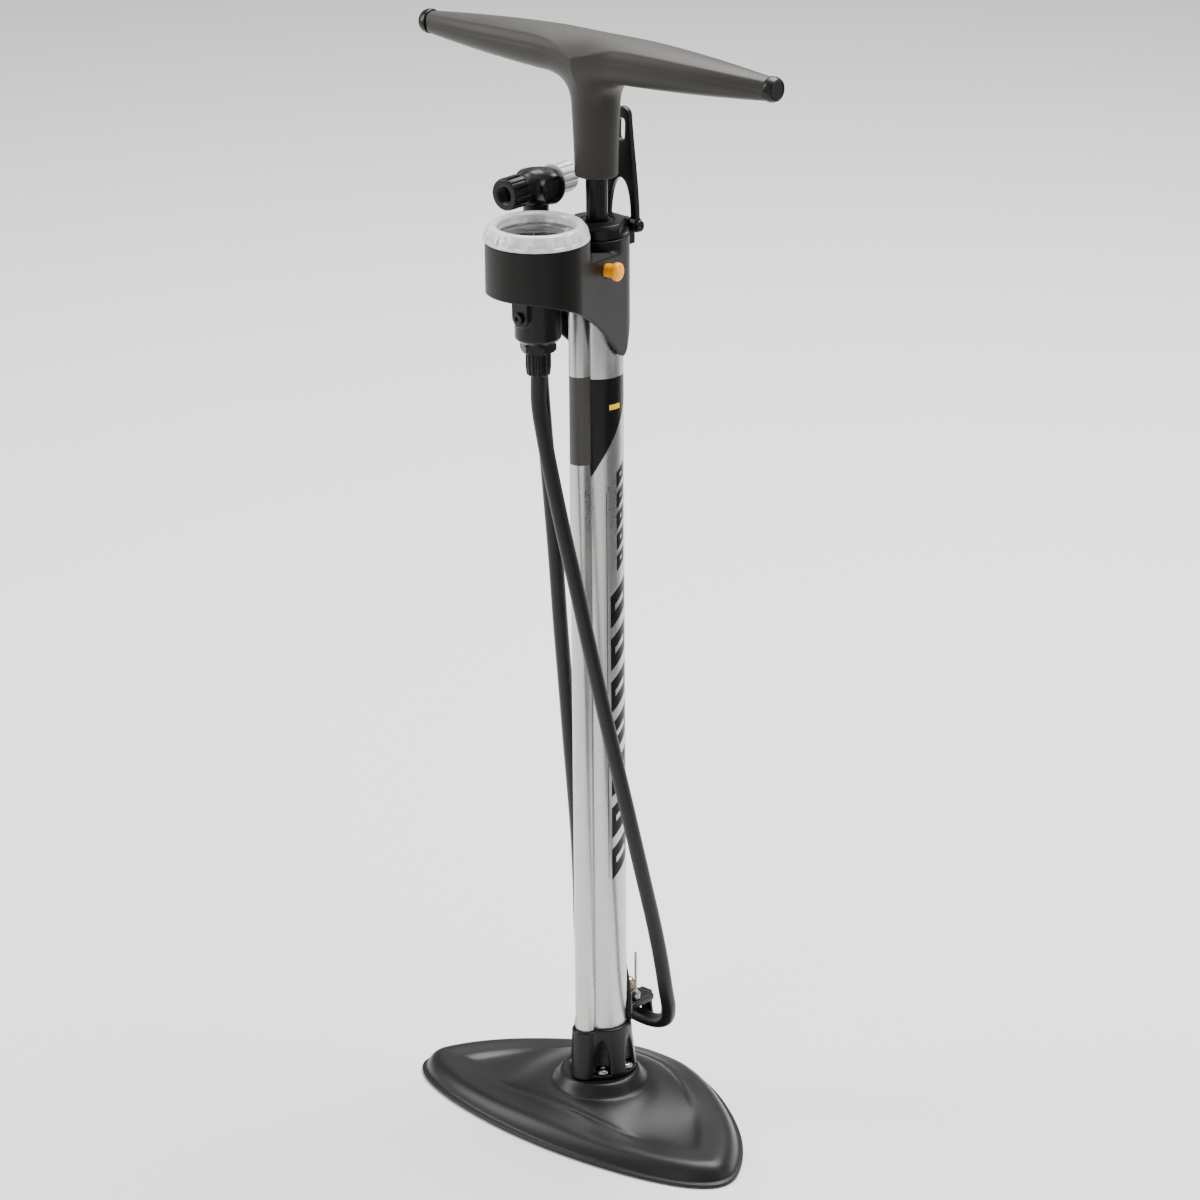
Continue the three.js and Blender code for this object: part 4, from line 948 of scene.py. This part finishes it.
def makeDialFinish():
    # Screen-printed aluminium dial: flat black ink with fine white strokes and a pale pressure arc
    material, shader = newMaterial("printedDial", Roughness=0.5)
    links = material.node_tree.links
    place = addNode(material, "TexCoord")
    centred = addNode(material, "Mapping", {"Location": (0, -(gaugeY + axisBack) / 1000, 0)},
                      {"Vector": place.outputs["Object"]})
    parts = addNode(material, "SeparateXYZ", links={0: centred.outputs["Vector"]})
    # turns count clockwise from straight back, 12 o'clock, and the scale runs from -135 to 135
    steps = [
        ("xx", "MULTIPLY", "x", "x"),
        ("yy", "MULTIPLY", "y", "y"),
        ("squared", "ADD", "xx", "yy"),
        ("root", "SQRT", "squared"),
        ("radius", "MULTIPLY", "root", 1000),
        ("angle", "ARCTAN2", "x", "y"),
        ("turn", "MULTIPLY", "angle", 180 / np.pi),
        ("eitherSide", "ABSOLUTE", "turn"),
        ("onScale", "LESS_THAN", "eitherSide", dialPrint["scaleEnd"]),
        *strokeSteps("fine", *dialPrint["fine"]),
        *strokeSteps("bold", *dialPrint["bold"]),
        *strokeSteps("inner", *dialPrint["inner"]),
        *spanSteps("ring", "radius", *dialPrint["ring"]),
        ("outerMarks", "MAXIMUM", "fine", "bold"),
        ("allMarks", "MAXIMUM", "outerMarks", "inner"),
        ("ringed", "MAXIMUM", "allMarks", "ring"),
        ("white", "MULTIPLY", "ringed", "onScale"),
        *spanSteps("arcRadius", "radius", *dialPrint["arc"][0]),
        *spanSteps("arcTurn", "turn", *dialPrint["arc"][1]),
        ("arc", "MULTIPLY", "arcRadius", "arcTurn"),
    ]
    sums = dict(zip("xyz", parts.outputs))
    for name, operation, *inputs in steps:
        numbers = {i: value for i, value in enumerate(inputs) if not isinstance(value, str)}
        joins = {i: sums[value] for i, value in enumerate(inputs) if isinstance(value, str)}
        sums[name] = addNode(material, "Math", {"operation": operation, **numbers}, joins).outputs[0]
    grain = addNode(material, "TexNoise", {"Scale": 2500.0, "Detail": 2.0},
                    {"Vector": place.outputs["Object"]})
    ground = addNode(material, "ValToRGB", links={"Fac": grain.outputs["Fac"]})
    for stop, colour in zip(ground.color_ramp.elements, dialPrint["black"]):
        stop.color = hexColour(colour)
    inks = [(sums["arc"], dialPrint["yellow"]), (sums["white"], dialPrint["white"])]
    paint = ground.outputs["Color"]
    # each ink covers what lies below it wherever its mask is 1
    for mask, colour in inks:
        mix = addNode(material, "Mix", {"data_type": "RGBA", 7: hexColour(colour)},
                      {"Factor": mask, 6: paint})
        paint = mix.outputs[2]
    links.new(paint, shader.inputs["Base Color"])
    bump = addNode(material, "Bump", {"Strength": 0.6, "Distance": 0.00001}, {"Height": grain.outputs["Fac"]})
    links.new(bump.outputs["Normal"], shader.inputs["Normal"])
    return material


dialProfile = rounded([(1.6, 542.7), (24.2, 542.7), (24.2, 543.4), (1.6, 543.4)], 0.1, closed=True)
addPiece("dialPlate", *atGauge(dialProfile), makeDialFinish(), "dial", "dial_print")


def needleSkin():
    # a long blade that narrows to the tip with a counterweight behind, and a round hub on top
    length = np.linspace(-6, 19.5, 40)
    half = np.interp(length, [-6, -5.4, -2, 0, 19, 19.5], [0.6, 1.7, 1.3, 1.4, 0.42, 0.15])
    rows = []
    for across, z in ((-1, 545.0), (-1, 545.45), (-0.7, 545.6), (0.7, 545.6), (1, 545.45), (1, 545.0)):
        rows.append(np.stack([half * across, length, np.full_like(half, z)], -1))
    blade = skin(np.array(rows).transpose(1, 0, 2))
    hub = turnedGrid(rounded([(0, 544.8), (2.6, 544.8), (2.6, 546.1), (1.7, 546.6), (0, 546.6)], 0.4), 48)
    points, faces = joinedSkins(blade, hub)
    turn = np.radians(130)
    spun = np.array([[np.cos(turn), -np.sin(turn), 0], [np.sin(turn), np.cos(turn), 0], [0, 0, 1]])
    return points @ spun.T + np.array([0, gaugeY, 0]), faces


addPiece("needleBlade", *needleSkin(), amberAcetal, "needle", "amber")
rimProfile = rounded([(22.4, 546.3), (25.4, 546.3), (25.4, 549), (24.7, 549), (24.4, 548.1), (23.7, 548.0),
                      (23.4, 547.2), (22.4, 547.1)], 0.14, closed=True)
addPiece("chromeRim", *atGauge(rimProfile, 160), chromePlate, "rim_ring", "chrome")

# Cast acrylic lens: clear, with a barely uneven surface that bends reflections
clearLens = surfaceOf("clearLens", ("#f4f7f8", "#fafcfc"), (0.02, 0.04), 3.0, 0.002, clouds=20,
                                      Transmission_Weight=1.0, IOR=1.49)[0]
lensProfile = rounded([(0, 549.4), (24.1, 549.4, 0.3), (24.1, 551.2, 0.3), (20, 551.75, 1), (0, 551.9)], 0.3)
addPiece("gaugeLens", *atGauge(lensProfile, 128, closed=False), clearLens, "lens", "clear")

# Clear polycarbonate bezel, thick enough to look silvery white where it gathers light
clearBezel = surfaceOf("clearBezel", ("#f2f4f5", "#fcfdfd"), (0.05, 0.12), 1.2, 0.01,
                                        clouds=5, Transmission_Weight=0.4, IOR=1.58)[0]


def bezelReach(angle, radius, height):
    # 16 shallow finger flats round the sloping side, deepest half way up
    depth = 1.1 * easeBetween(550.2, 551.6, height) * (1 - easeBetween(554.6, 556.6, height)) * (radius > 24)
    wave = np.cos(angle * 16)
    return radius - depth * (0.5 + 0.5 * np.clip(wave * 6 + 2.4, -1, 1))


bezelProfile = rounded([(24.4, 549.3), (29, 549.3, 0.25), (29, 551.3, 0.5), (28.4, 553.6, 1.2),
                        (26.1, 557.2, 0.9),
                        (24.8, 558, 0.7), (22.2, 557.4, 0.5), (21.4, 556.4, 0.4), (21.4, 552.2, 0.3),
                        (24.4, 552.2, 0.3)], 0.3, steps=5, closed=True)
addPiece("gaugeBezelRing", *atGauge(bezelProfile, 288, reach=bezelReach), clearBezel, "gauge_bezel", "clear",
         crease=45)
print("gauge assembled")


# Hose gland under the gauge: body with a screwed ear, hexagon nut and ribbed strain relief
def glandField(x, y, z):
    off = np.hypot(x, y - gaugeY)
    body = blendMax(off - 12.8, between(z, 491.3, 519.4), 0.6)
    body = blendMax(body, (off - 12.8 + (491.3 - z) + 2.6) * 0.7071, 0.5)
    ear = np.maximum(np.hypot(x, np.minimum(z - 508, 0)) - 5.6, z - 519.4)
    ear = blendMax(ear, between(y, gaugeY - 15.2, gaugeY - 4), 0.7)
    body = blendMin(body, ear, 1.2)
    screwLine = np.hypot(x, z - 508)
    pocket = np.maximum(screwLine - 3.25, y - (gaugeY - 14.6))
    hole = np.maximum(screwLine - 1.9, between(y, gaugeY - 20, gaugeY - 10.8))
    return blendMax(body, -np.minimum(np.minimum(off - 4.4, hole), pocket), 0.4)


addMoulded("glandBody", glandField, (-13, gaugeY - 16, 491), (13, gaugeY + 13, 520), 0.5, smoothNylon,
           "hose_gland", "black_plastic")
screwProfile = rounded([(0, 1.0), (1.0, 1.0), (1.2, 0), (3.1, 0, 0.5), (3.1, 1.6), (1.5, 1.6), (1.5, 5.4),
                        (0, 5.4)], 0.2)
addPiece("glandScrewTurned", *turnedGrid(screwProfile, 48, centre=(0, gaugeY - 17.1, 508), direction="y"),
         anodisedRod,
         "gland_screw", "rod_black")


def hexagon(across):
    # the radius of a hexagon's side along each ray
    def reach(angle, radius, height):
        away = (angle + np.pi / 6) % (np.pi / 3) - np.pi / 6
        flat = across * 0.866 / np.cos(away)
        return np.where(radius > 6, np.minimum(radius, flat), radius)
    return reach


nutProfile = rounded([(5, 486), (9.2, 486, 0), (10.2, 486.8, 0), (10.2, 490.2, 0), (9.2, 491, 0), (5, 491)],
                     0.2, closed=True)
addPiece("glandNutTurned", *atGauge(nutProfile, 120, reach=hexagon(10.2)), smoothNylon, "gland_nut",
         "black_plastic", crease=20)


def ribs(count, depth, low, high, share=0.5):
    # square ribs with soft shoulders between two heights
    def reach(angle, radius, height):
        wave = np.clip(np.cos(angle * count) * 2.4 + (share - 0.5) * 2, -1, 1) * 0.5 + 0.5
        part = easeBetween(low, low + 1.2,
                           height) * (1 - easeBetween(high - 0.6, high, height)) * (radius > 5)
        return radius - depth * (1 - wave) * part
    return reach


reliefProfile = rounded([(4.45, 472.4), (6.2, 472.4, 0.3), (6.7, 473.4, 0.5), (7.1, 477, 1),
                         (7.1, 485.7, 0.3), (4.45, 485.7)],
                        0.2, closed=True)
reliefProfile = evenly(np.vstack([reliefProfile, reliefProfile[:1]]), 60)[:-1]
addPiece("strainReliefRibbed", *atGauge(reliefProfile, 240, reach=ribs(14, 0.8, 472.5, 485.6)), smoothNylon,
         "strain_relief", "black_plastic", crease=40)
print("gland made")


# Twin head, stored in the dock: ferrule on the hose, body with a short arm, and two screw collars
head = {"x": -31.0, "y": -15.0, "z": 566.0, "arm": 8.8}
headSpot = (head["x"], head["y"], head["z"])


def ferruleReach(angle, radius, height):
    # grip flutes on the lower part
    part = easeBetween(527, 529, height) * (1 - easeBetween(545, 547, height)) * (radius > 5)
    return radius - 0.35 * part * (0.5 + 0.5 * np.cos(angle * 16))


ferruleProfile = rounded([(2.2, 525), (5.6, 525, 0.4), (6.2, 526.2, 0.5), (6.2, 547.6, 0.5), (7.2, 549, 0.5),
                          (7.2, 556.4), (2.2, 556.4)],
                         0.25, closed=True)
ferruleProfile = evenly(np.vstack([ferruleProfile, ferruleProfile[:1]]), 90)[:-1]
ferrulePiece = addPiece("headFerruleFluted", *turnedGrid(ferruleProfile, 144, closed=True, reach=ferruleReach,
                                                         centre=(head["x"], head["y"], 0)),
                        smoothNylon, "head_ferrule", "black_plastic", crease=45)


def headField(x, y, z):
    x, y, z = x - head["x"], y - head["y"], z - head["z"]
    chuckRadius = np.interp(np.abs(y), [0, 6, 10.5, 12.6, 13.2], [9.0, 9.0, 8.0, 7.2, 6.7])
    chuck = np.maximum(np.hypot(x, z) - chuckRadius, np.abs(y) - 13.2)
    armRadius = np.interp(x, [-11.5, -9.8, -5, 13.2, 15.0, 15.8],
                          [5.4, 7.5, head["arm"], head["arm"], 7.7, 6.7])
    arm = blendMax(np.hypot(y, z) - armRadius, between(x, -11.5, 15.8), 0.6)
    neck = np.maximum(np.hypot(x, y) - 7, between(z, -9.3, 0))
    body = blendMin(blendMin(chuck, arm, 3.2), neck, 2.5)
    recess = np.maximum(np.hypot(y, z) - 4.7, 14.5 - x)
    boss = np.maximum(np.hypot(y, z) - 3.1, 15.2 - x)
    recess = np.maximum(recess, -np.maximum(boss, x - 15.2))
    passage = np.maximum(np.hypot(x, z) - 2.4, np.abs(y) - 20)
    feed = np.maximum(np.hypot(x, y) - 2, z - 1)
    return blendMax(body, -np.minimum(np.minimum(recess, passage), feed), 0.5)


headPiece = addMoulded("headBodyShell", headField, (-43.5, -29, 556), (-14.5, -1, 575), 0.45, smoothNylon,
                       "head_body", "black_plastic")


def collarReach(angle, radius, height):
    # 14 broad grip ribs with narrow grooves, fading into the chamfer at each end
    wave = np.clip(np.cos(angle * 14) * 3.2 + 1.1, -1, 1) * 0.5 + 0.5
    part = easeBetween(13.9, 15.2, height) * (1 - easeBetween(25.2, 25.9, height)) * (radius > 7.3)
    return radius - 0.9 * (1 - wave) * part


def collarProfile():
    # outside from the body to the nose, then back down a threaded bore: six ridges 0.9 mm apart
    outside = rounded([(4.5, 13.5), (8.5, 13.5, 0.3), (9.1, 14.1, 0.4), (9.1, 25.3, 0.4), (8.5, 26.2, 0.3),
                       (8.1, 26.4, 0.2),
                       (5.4, 26.4, 0.4)], 0.2)
    depth = np.linspace(26.0, 13.8, 61)
    bore = np.c_[4.62 + 0.22 * np.cos(depth * 2 * np.pi / 1.0), depth]
    return np.vstack([evenly(outside, 60), bore])


for node, direction, material, finish in (("black_chuck_collar", "-y", smoothNylon, "black_plastic"),
                                          ("grey_chuck_collar", "y", greyAcetal, "pale_grey")):
    addPiece(node + "_ribbed",
                             *turnedGrid(collarProfile(), 224, closed=True, reach=collarReach,
                                                           centre=headSpot, direction=direction),
                             material, node, finish, crease=45)
sealProfile = rounded([(2.2, 14), (4.2, 14), (4.2, 19.4, 0.4), (3.0, 19.6, 0.3), (2.2, 18.6, 0.2)], 0.3,
                      closed=True)
for node, direction in (("black_chuck_seal", "-y"), ("grey_chuck_seal", "y")):
    addPiece(node + "_moulded",
                           *turnedGrid(sealProfile, 64, closed=True, centre=headSpot, direction=direction),
                           plainRubber, node, "rubber")
tuple(inMetres(hoseRoute[0]).tolist())
print("head made")


# Handle: a long bar that thins to its ends, with a flat-topped section, over an oval stem
handle = {"z": 641.2, "end": 119.3, "stemFoot": 574.0, "stem": 12.0}


def handleField(x, y, z):
    far = np.abs(x) / 113
    height = 12.8 - 5.8 * far**1.8
    depth = 17.5 - 10.5 * far**1.9
    # the sides swell to a soft upright ridge over the stem
    swell = depth + 2.4 * np.exp(-np.abs(x) / 8)
    up = z - handle["z"]
    # sides and belly: |y/depth|^2.5 + |z/height|^2.5 = 1
    power = 2.5
    shoulder = np.where(up > 0, height * 1.085, height)
    ratio = (np.abs(y / swell) ** power + np.abs(up / shoulder) ** power) ** (1 / power)
    bar = (ratio - 1) * np.minimum(height, depth)
    rise = np.maximum(z - handle["stemFoot"], 0) / 48
    rx = handle["stem"] + 1.3 * rise**1.5
    ry = handle["stem"] + 2.6 * rise**1.5 - 4.2 * easeBetween(0.9, 1.4, rise)
    stem = (np.sqrt((x / rx) ** 2 + (y / ry) ** 2) - 1) * np.minimum(rx, ry)
    stem = blendMax(stem, between(z, handle["stemFoot"], 638), 1.2)
    body = blendMin(bar, stem, 14)
    # top: a crowned facet, lowest at its edges, that dips to a point over the front of the stem; a faint
    # mould line runs 4.3 mm below its edge
    drop = (0.19 + 0.13 * np.exp(-(x / 20) ** 2)) * height / (0.76 * depth) ** 2
    facet = (up - 0.955 * height + drop * y * y) / np.sqrt(1 + (2 * drop * np.minimum(np.abs(y), depth)) ** 2)
    body = blendMax(body, facet, 0.3)
    body = body + 0.12 * np.exp(-((facet + 4.3) / 0.9) ** 2) * easeBetween(3, 14, np.abs(x))
    body = blendMax(body, np.abs(x) - handle["end"], 0.4)
    nub = block(x, y, z, (-1.7, 9, 592), (1.7, 15.4, 597), 0.5)
    body = blendMin(body, nub, 0.5)
    rodHole = np.maximum(disk(x, y, 6.3), z - 606.4)
    insertRoom = np.maximum(disk(x, y, 9), between(z, 588, 602))
    plugHole = np.maximum(np.hypot(y, up) - 4.6, 100 - np.abs(x))
    for hole in (rodHole, insertRoom, plugHole):
        body = blendMax(body, -hole, 0.4)
    return body


addMoulded("handleShell", handleField, (-119.5, -21, 574), (119.5, 21, 654.2), 0.78, grainedAbs, "handle",
           "handle_plastic")
plugProfile = rounded([(0, 104), (4.2, 104), (4.2, 119.55, 0.1), (6.8, 119.55, 0.2), (7.0, 120.0, 0.2),
                       (7.0, 122.6, 1.2), (5.9, 124.8, 0.9),
                       (5.2, 125, 0.3), (4.8, 124.5, 0.3), (0, 124.7)], 0.3)
for node, direction in (("end_plug_left", "-x"), ("end_plug_right", "x")):
    addPiece(node + "_turned", *turnedGrid(plugProfile, 96, centre=(0, 0, handle["z"]), direction=direction),
             smoothNylon,
             node, "black_plastic")

# Rod: round black tube with a reduced screwed end below the piston
rodProfile = rounded([(0, 48.5), (2.6, 48.5, 0.2), (3, 49.1, 0.2), (3, 56.5, 0.1), (5.6, 56.5, 0.2),
                      (6, 57.1, 0.2),
                      (6, 605.4, 0.3), (5.4, 606, 0.2), (0, 606)], 0.2)
addPiece("pistonRodTube", *turnedGrid(rodProfile, 128), anodisedRod, "piston_rod", "rod_black")
print("handle moulded")


# Latch: a wishbone on a cross pin that leans on the back of the stem
latchShape = {"lean": -2.2, "thick": 1.9}


def bezier(a, b, c, d, count=24):
    t = np.linspace(0, 1, count, endpoint=False)[:, None]
    a, b, c, d = (np.array(p, float) for p in (a, b, c, d))
    return (1 - t) ** 3 * a + 3 * (1 - t) ** 2 * t * b + 3 * (1 - t) * t * t * c + t**3 * d


def latchOutline():
    turn = np.linspace(0, np.pi, 16, endpoint=False)
    right = bezier((12.4, 0), (11.6, 20), (7.8, 38), (5.2, 60))
    crown = np.c_[5.2 * np.cos(turn), 60.2 + 5.2 * np.sin(turn)]
    left = bezier((-5.2, 60), (-7.8, 38), (-11.6, 20), (-12.4, 0))
    archLeft = bezier((-8, 0), (-7.8, 12), (-6, 25), (0, 25.6))
    archRight = bezier((0, 25.6), (6, 25), (7.8, 12), (8, 0))
    return np.vstack([right, crown, left, [(-12.4, 0)], archLeft, archRight, [(8, 0)]])


def outlineDistance(u, v, outline):
    # distance to the nearest edge, minus inside; a point is inside if a ray from it crosses the outline
    # an odd number of times
    shape = np.broadcast(u, v).shape
    flat = np.stack([np.broadcast_to(u, shape).ravel(), np.broadcast_to(v, shape).ravel()], -1)
    unique, back = np.unique(flat, axis=0, return_inverse=True)
    ends = np.roll(outline, -1, 0)
    out = np.empty(len(unique))
    for start in range(0, len(unique), 20000):
        points = unique[start:start + 20000]
        edge = ends - outline
        offset = points[:, None] - outline
        t = np.clip((offset * edge).sum(-1) / np.maximum((edge**2).sum(-1), 1e-12), 0, 1)
        near = np.linalg.norm(offset - t[..., None] * edge, axis=-1).min(1)
        straddle = (outline[:, 1] > points[:, None, 1]) != (ends[:, 1] > points[:, None, 1])
        safe = np.where(edge[:, 1] == 0, 1, edge[:, 1])
        crossing = outline[:, 0] + (points[:, None, 1] - outline[:, 1]) / safe * edge[:, 0]
        inside = ((points[:, None, 0] < crossing) & straddle).sum(1) % 2 == 1
        out[start:start + 20000] = np.where(inside, -near, near)
    return out[back.ravel()].reshape(shape)


latchEdge = latchOutline()


def latchField(x, y, z):
    lean = np.radians(latchShape["lean"])
    dy, dz = y - housing["latchY"], z - housing["latchZ"]
    through = dy * np.cos(lean) + dz * np.sin(lean)
    up = dz * np.cos(lean) - dy * np.sin(lean)
    flat = outlineDistance(np.round(x + 0 * up, 5), np.round(up + 0 * x, 5), latchEdge)
    blade = blendMax(flat, np.abs(through) - latchShape["thick"], 0.9)
    pinLine = np.hypot(through, up)
    feet = blendMax(pinLine - 3.9, between(np.abs(x), 8, 12.4), 0.6)
    body = blendMin(blade, feet, 1.2)
    eye = np.hypot(x, up - np.clip(up, 49, 56.6)) - 2.5
    return blendMax(body, -np.minimum(eye, pinLine - 2.5), 0.5)


addMoulded("latchWishbone", latchField, (-12.6, 15.5, 538), (12.6, 26, 608.5), 0.55, smoothNylon, "latch",
           "black_plastic")
pinProfile = rounded([(0, -14.2), (2.6, -14.4, 0.3), (3.2, -13.9, 0.3), (3.2, -12.8, 0.2), (2.2, -12.8, 0.1),
                      (2.2, 12.8, 0.1),
                      (3.2, 12.8, 0.2), (3.2, 13.9, 0.3), (2.6, 14.4, 0.3), (0, 14.2)], 0.2)
addPiece("latchPinTurned", *turnedGrid(pinProfile, 64, centre=(0, housing["latchY"], housing["latchZ"]),
                                       direction="x"),
         anodisedRod, "latch_pin", "rod_black")
print("latch made")


# Clip behind the foot of the barrel: a tapered plate, a shelf for the spare fittings and a hook for the hose
hookEdge = np.array([(31, 60.4), (41.0, 60.6), (41.3, 56), (41.3, 52), (42.4, 46.4), (41.4, 43.6),
                     (40.5, 46), (39.9, 52),
                     (38.2, 56), (35, 58.2), (31, 58.6)])


def clipField(x, y, z):
    off = np.hypot(x, y)
    plate = np.maximum(between(off, barrel["radius"] + 0.32, barrel["radius"] + 3.1), between(z, 58.8, 92))
    plate = np.maximum(plate, 6.9 - y)
    lean = np.radians(22)
    slope = (np.abs(x) - 15 - 1.0) * np.cos(lean) + (z - 62) * np.sin(lean)
    plate = blendMax(plate, slope, 0.8)
    shelf = block(x, y, z, (-9, 15.6, 58.8), (9, 37, 63), 0.9)
    bridge = block(x, y, z, (-4, 30, 58.8), (4, 41.2, 62), 0.6)
    hookFlat = outlineDistance(np.round(y + 0 * z, 5), np.round(z + 0 * y, 5), hookEdge)
    hook = blendMax(hookFlat - 0.2, np.abs(x) - 4, 0.7)
    body = blendMin(blendMin(blendMin(plate, shelf, 2.0), bridge, 1.0), hook, 0.6)
    body = np.maximum(body, barrel["radius"] + 0.3 - off)
    needleHole = np.maximum(disk(x, y, 1.6, 5, 24.5), between(z, 55, 66))
    adapterHole = np.maximum(disk(x, y, 3.2, -4, 29), 60.2 - z)
    rim = np.minimum(np.maximum(needleHole, 50 - z), adapterHole)
    return blendMax(body, -rim, 0.4)


addMoulded("rearClipShell", clipField, (-17.5, 6, 43), (17.5, 43, 92.5), 0.5, smoothNylon, "rear_clip",
           "black_plastic")
needleProfile = rounded([(0, 57.4), (1.3, 57.4, 0.2), (1.3, 63.4, 0.1), (2.8, 63.4, 0.2), (2.8, 66.6, 0.4),
                         (1.5, 68.4, 0.4),
                         (0.8, 69, 0.2), (0.8, 92.6, 0.5), (0.45, 94.1, 0.2), (0, 94.2)], 0.2)
addPiece("ballNeedleDrawn", *turnedGrid(needleProfile, 48, centre=(5, 24.5, 0)), drawnSteel, "ball_needle",
         "steel")


def adapterReach(angle, radius, height):
    # fine thread on the upper part: ridges 0.7 mm apart
    part = easeBetween(66.2, 66.6, height) * (1 - easeBetween(69.6, 70, height)) * (radius > 2.5)
    return radius - 0.22 * part * (0.5 + 0.5 * np.cos(height * 2 * np.pi / 0.7 + angle))


adapterProfile = rounded([(0, 60.6), (2.7, 60.6, 0.2), (2.9, 65, 0.3), (3.6, 66, 0.2), (3.6, 70, 0.2),
                          (2.4, 72, 0.4), (1.2, 72.6, 0.2),
                          (1.0, 71.4, 0.2), (0, 71.2)], 0.2)
adapterProfile = evenly(adapterProfile, 90)
addPiece("valveAdapterTurned", *turnedGrid(adapterProfile, 48, centre=(-4, 29, 0), reach=adapterReach),
         turnedBrass,
         "valve_adapter", "brass")
print("clip made")


# Inner pieces keep their own shape and take a worked finish, listed piece by piece, in every material slot
springSteel = surfaceOf("springSteel", ("#9a9da1", "#b4b7ba"), (0.26, 0.36), 0.12, 0.003, clouds=2,
                        Metallic=1.0)[0]
innerFinish = {
    "bottom_plug": smoothNylon, "bottom_seal": plainRubber, "check_ball": plainRubber,
    "check_spring": springSteel,
    "piston": smoothNylon, "piston_cup": plainRubber, "piston_nut": platedSteel, "bumper": plainRubber,
    "rod_guide": greyAcetal, "button_spring": springSteel, "bourdon_tube": turnedBrass,
    "gauge_stem": turnedBrass,
    "movement_plate": turnedBrass, "sector_gear": turnedBrass, "pinion_spindle": turnedBrass,
    "handle_insert": platedSteel,
}
for node, material in innerFinish.items():
    mesh = frame["nodes"][node].data
    if mesh.materials:
        for i in range(len(mesh.materials)):
            mesh.materials[i] = material
    else:
        mesh.materials.append(material)
print("inner pieces finished")


# Plain studio: pale floor, white surround, a big softbox to the left and gentle fills
studio = {
    "floor": ("#d2d2d1", "#d6d6d5"),
    "surround": 0.44,
    # black card low to the right, out of frame and seen only in reflections: it keeps the right sides dark
    "card": [(0.45, -0.35, 0.004), (2.1, -0.35, 0.004), (2.1, 1.5, 0.004), (0.45, 1.5, 0.004)],
    # place, size, aim, watts
    "lamps": [
        ("keySoftbox", (-1.9, -1.5, 1.5), (0.9, 2.0), (0, 0, 0.35), 62),
        ("topSoftbox", (0.0, 0.9, 2.5), (2.4, 1.8), (0, 0, 0.2), 235),
        ("frontStrip", (0.4, -2.4, 1.0), (0.35, 1.8), (0, 0, 0.35), 8),
        ("sideStrip", (2.1, 0.9, 1.1), (0.4, 1.9), (0, 0, 0.35), 6),
    ],
}


def makeStudio():
    material, shader = newMaterial("paperFloor", Roughness=0.9)
    place = addNode(material, "TexCoord")
    fibre = addNode(material, "TexNoise", {"Scale": 300.0, "Detail": 2.0},
                    {"Vector": place.outputs["Object"]})
    tone = addNode(material, "ValToRGB", links={"Fac": fibre.outputs["Fac"]})
    for stop, colour in zip(tone.color_ramp.elements, studio["floor"]):
        stop.color = hexColour(colour)
    material.node_tree.links.new(tone.outputs["Color"], shader.inputs["Base Color"])
    mesh = bpy.data.meshes.new("studioFloor")
    mesh.from_pydata([(-6, -6, 0), (6, -6, 0), (6, 6, 0), (-6, 6, 0)], [], [(0, 1, 2, 3)])
    mesh.materials.append(material)
    floor = bpy.data.objects.new("studioFloor", mesh)
    bpy.context.scene.collection.objects.link(floor)
    cardPaper, _ = newMaterial("blackCard", Base_Color=hexColour("#0c0c0c"), Roughness=0.9)
    cardMesh = bpy.data.meshes.new("studioCard")
    cardMesh.from_pydata(studio["card"], [], [(0, 1, 2, 3)])
    cardMesh.materials.append(cardPaper)
    card = bpy.data.objects.new("studioCard", cardMesh)
    bpy.context.scene.collection.objects.link(card)
    card.visible_camera = False
    card.visible_diffuse = False
    card.visible_shadow = False
    world = bpy.data.worlds.new("studioWorld")
    world.use_nodes = True
    world.node_tree.nodes["Background"].inputs["Color"].default_value = (1, 1, 1, 1)
    world.node_tree.nodes["Background"].inputs["Strength"].default_value = studio["surround"]
    bpy.context.scene.world = world
    for name, spot, size, aim, watts in studio["lamps"]:
        light = bpy.data.lights.new(name, "AREA")
        light.shape = "RECTANGLE"
        light.size, light.size_y = size
        light.energy = watts
        lamp = bpy.data.objects.new(name, light)
        toAim = np.array(aim) - np.array(spot)
        back = -toAim / np.linalg.norm(toAim)
        right = np.cross([0, 0, 1.0], back)
        right /= np.linalg.norm(right)
        matrix = np.eye(4)
        matrix[:3, 0], matrix[:3, 1], matrix[:3, 2], matrix[:3, 3] = right, np.cross(back, right), back, spot
        lamp.matrix_world = Matrix(matrix.tolist())
        bpy.context.scene.collection.objects.link(lamp)


makeStudio()
print("studio lit")
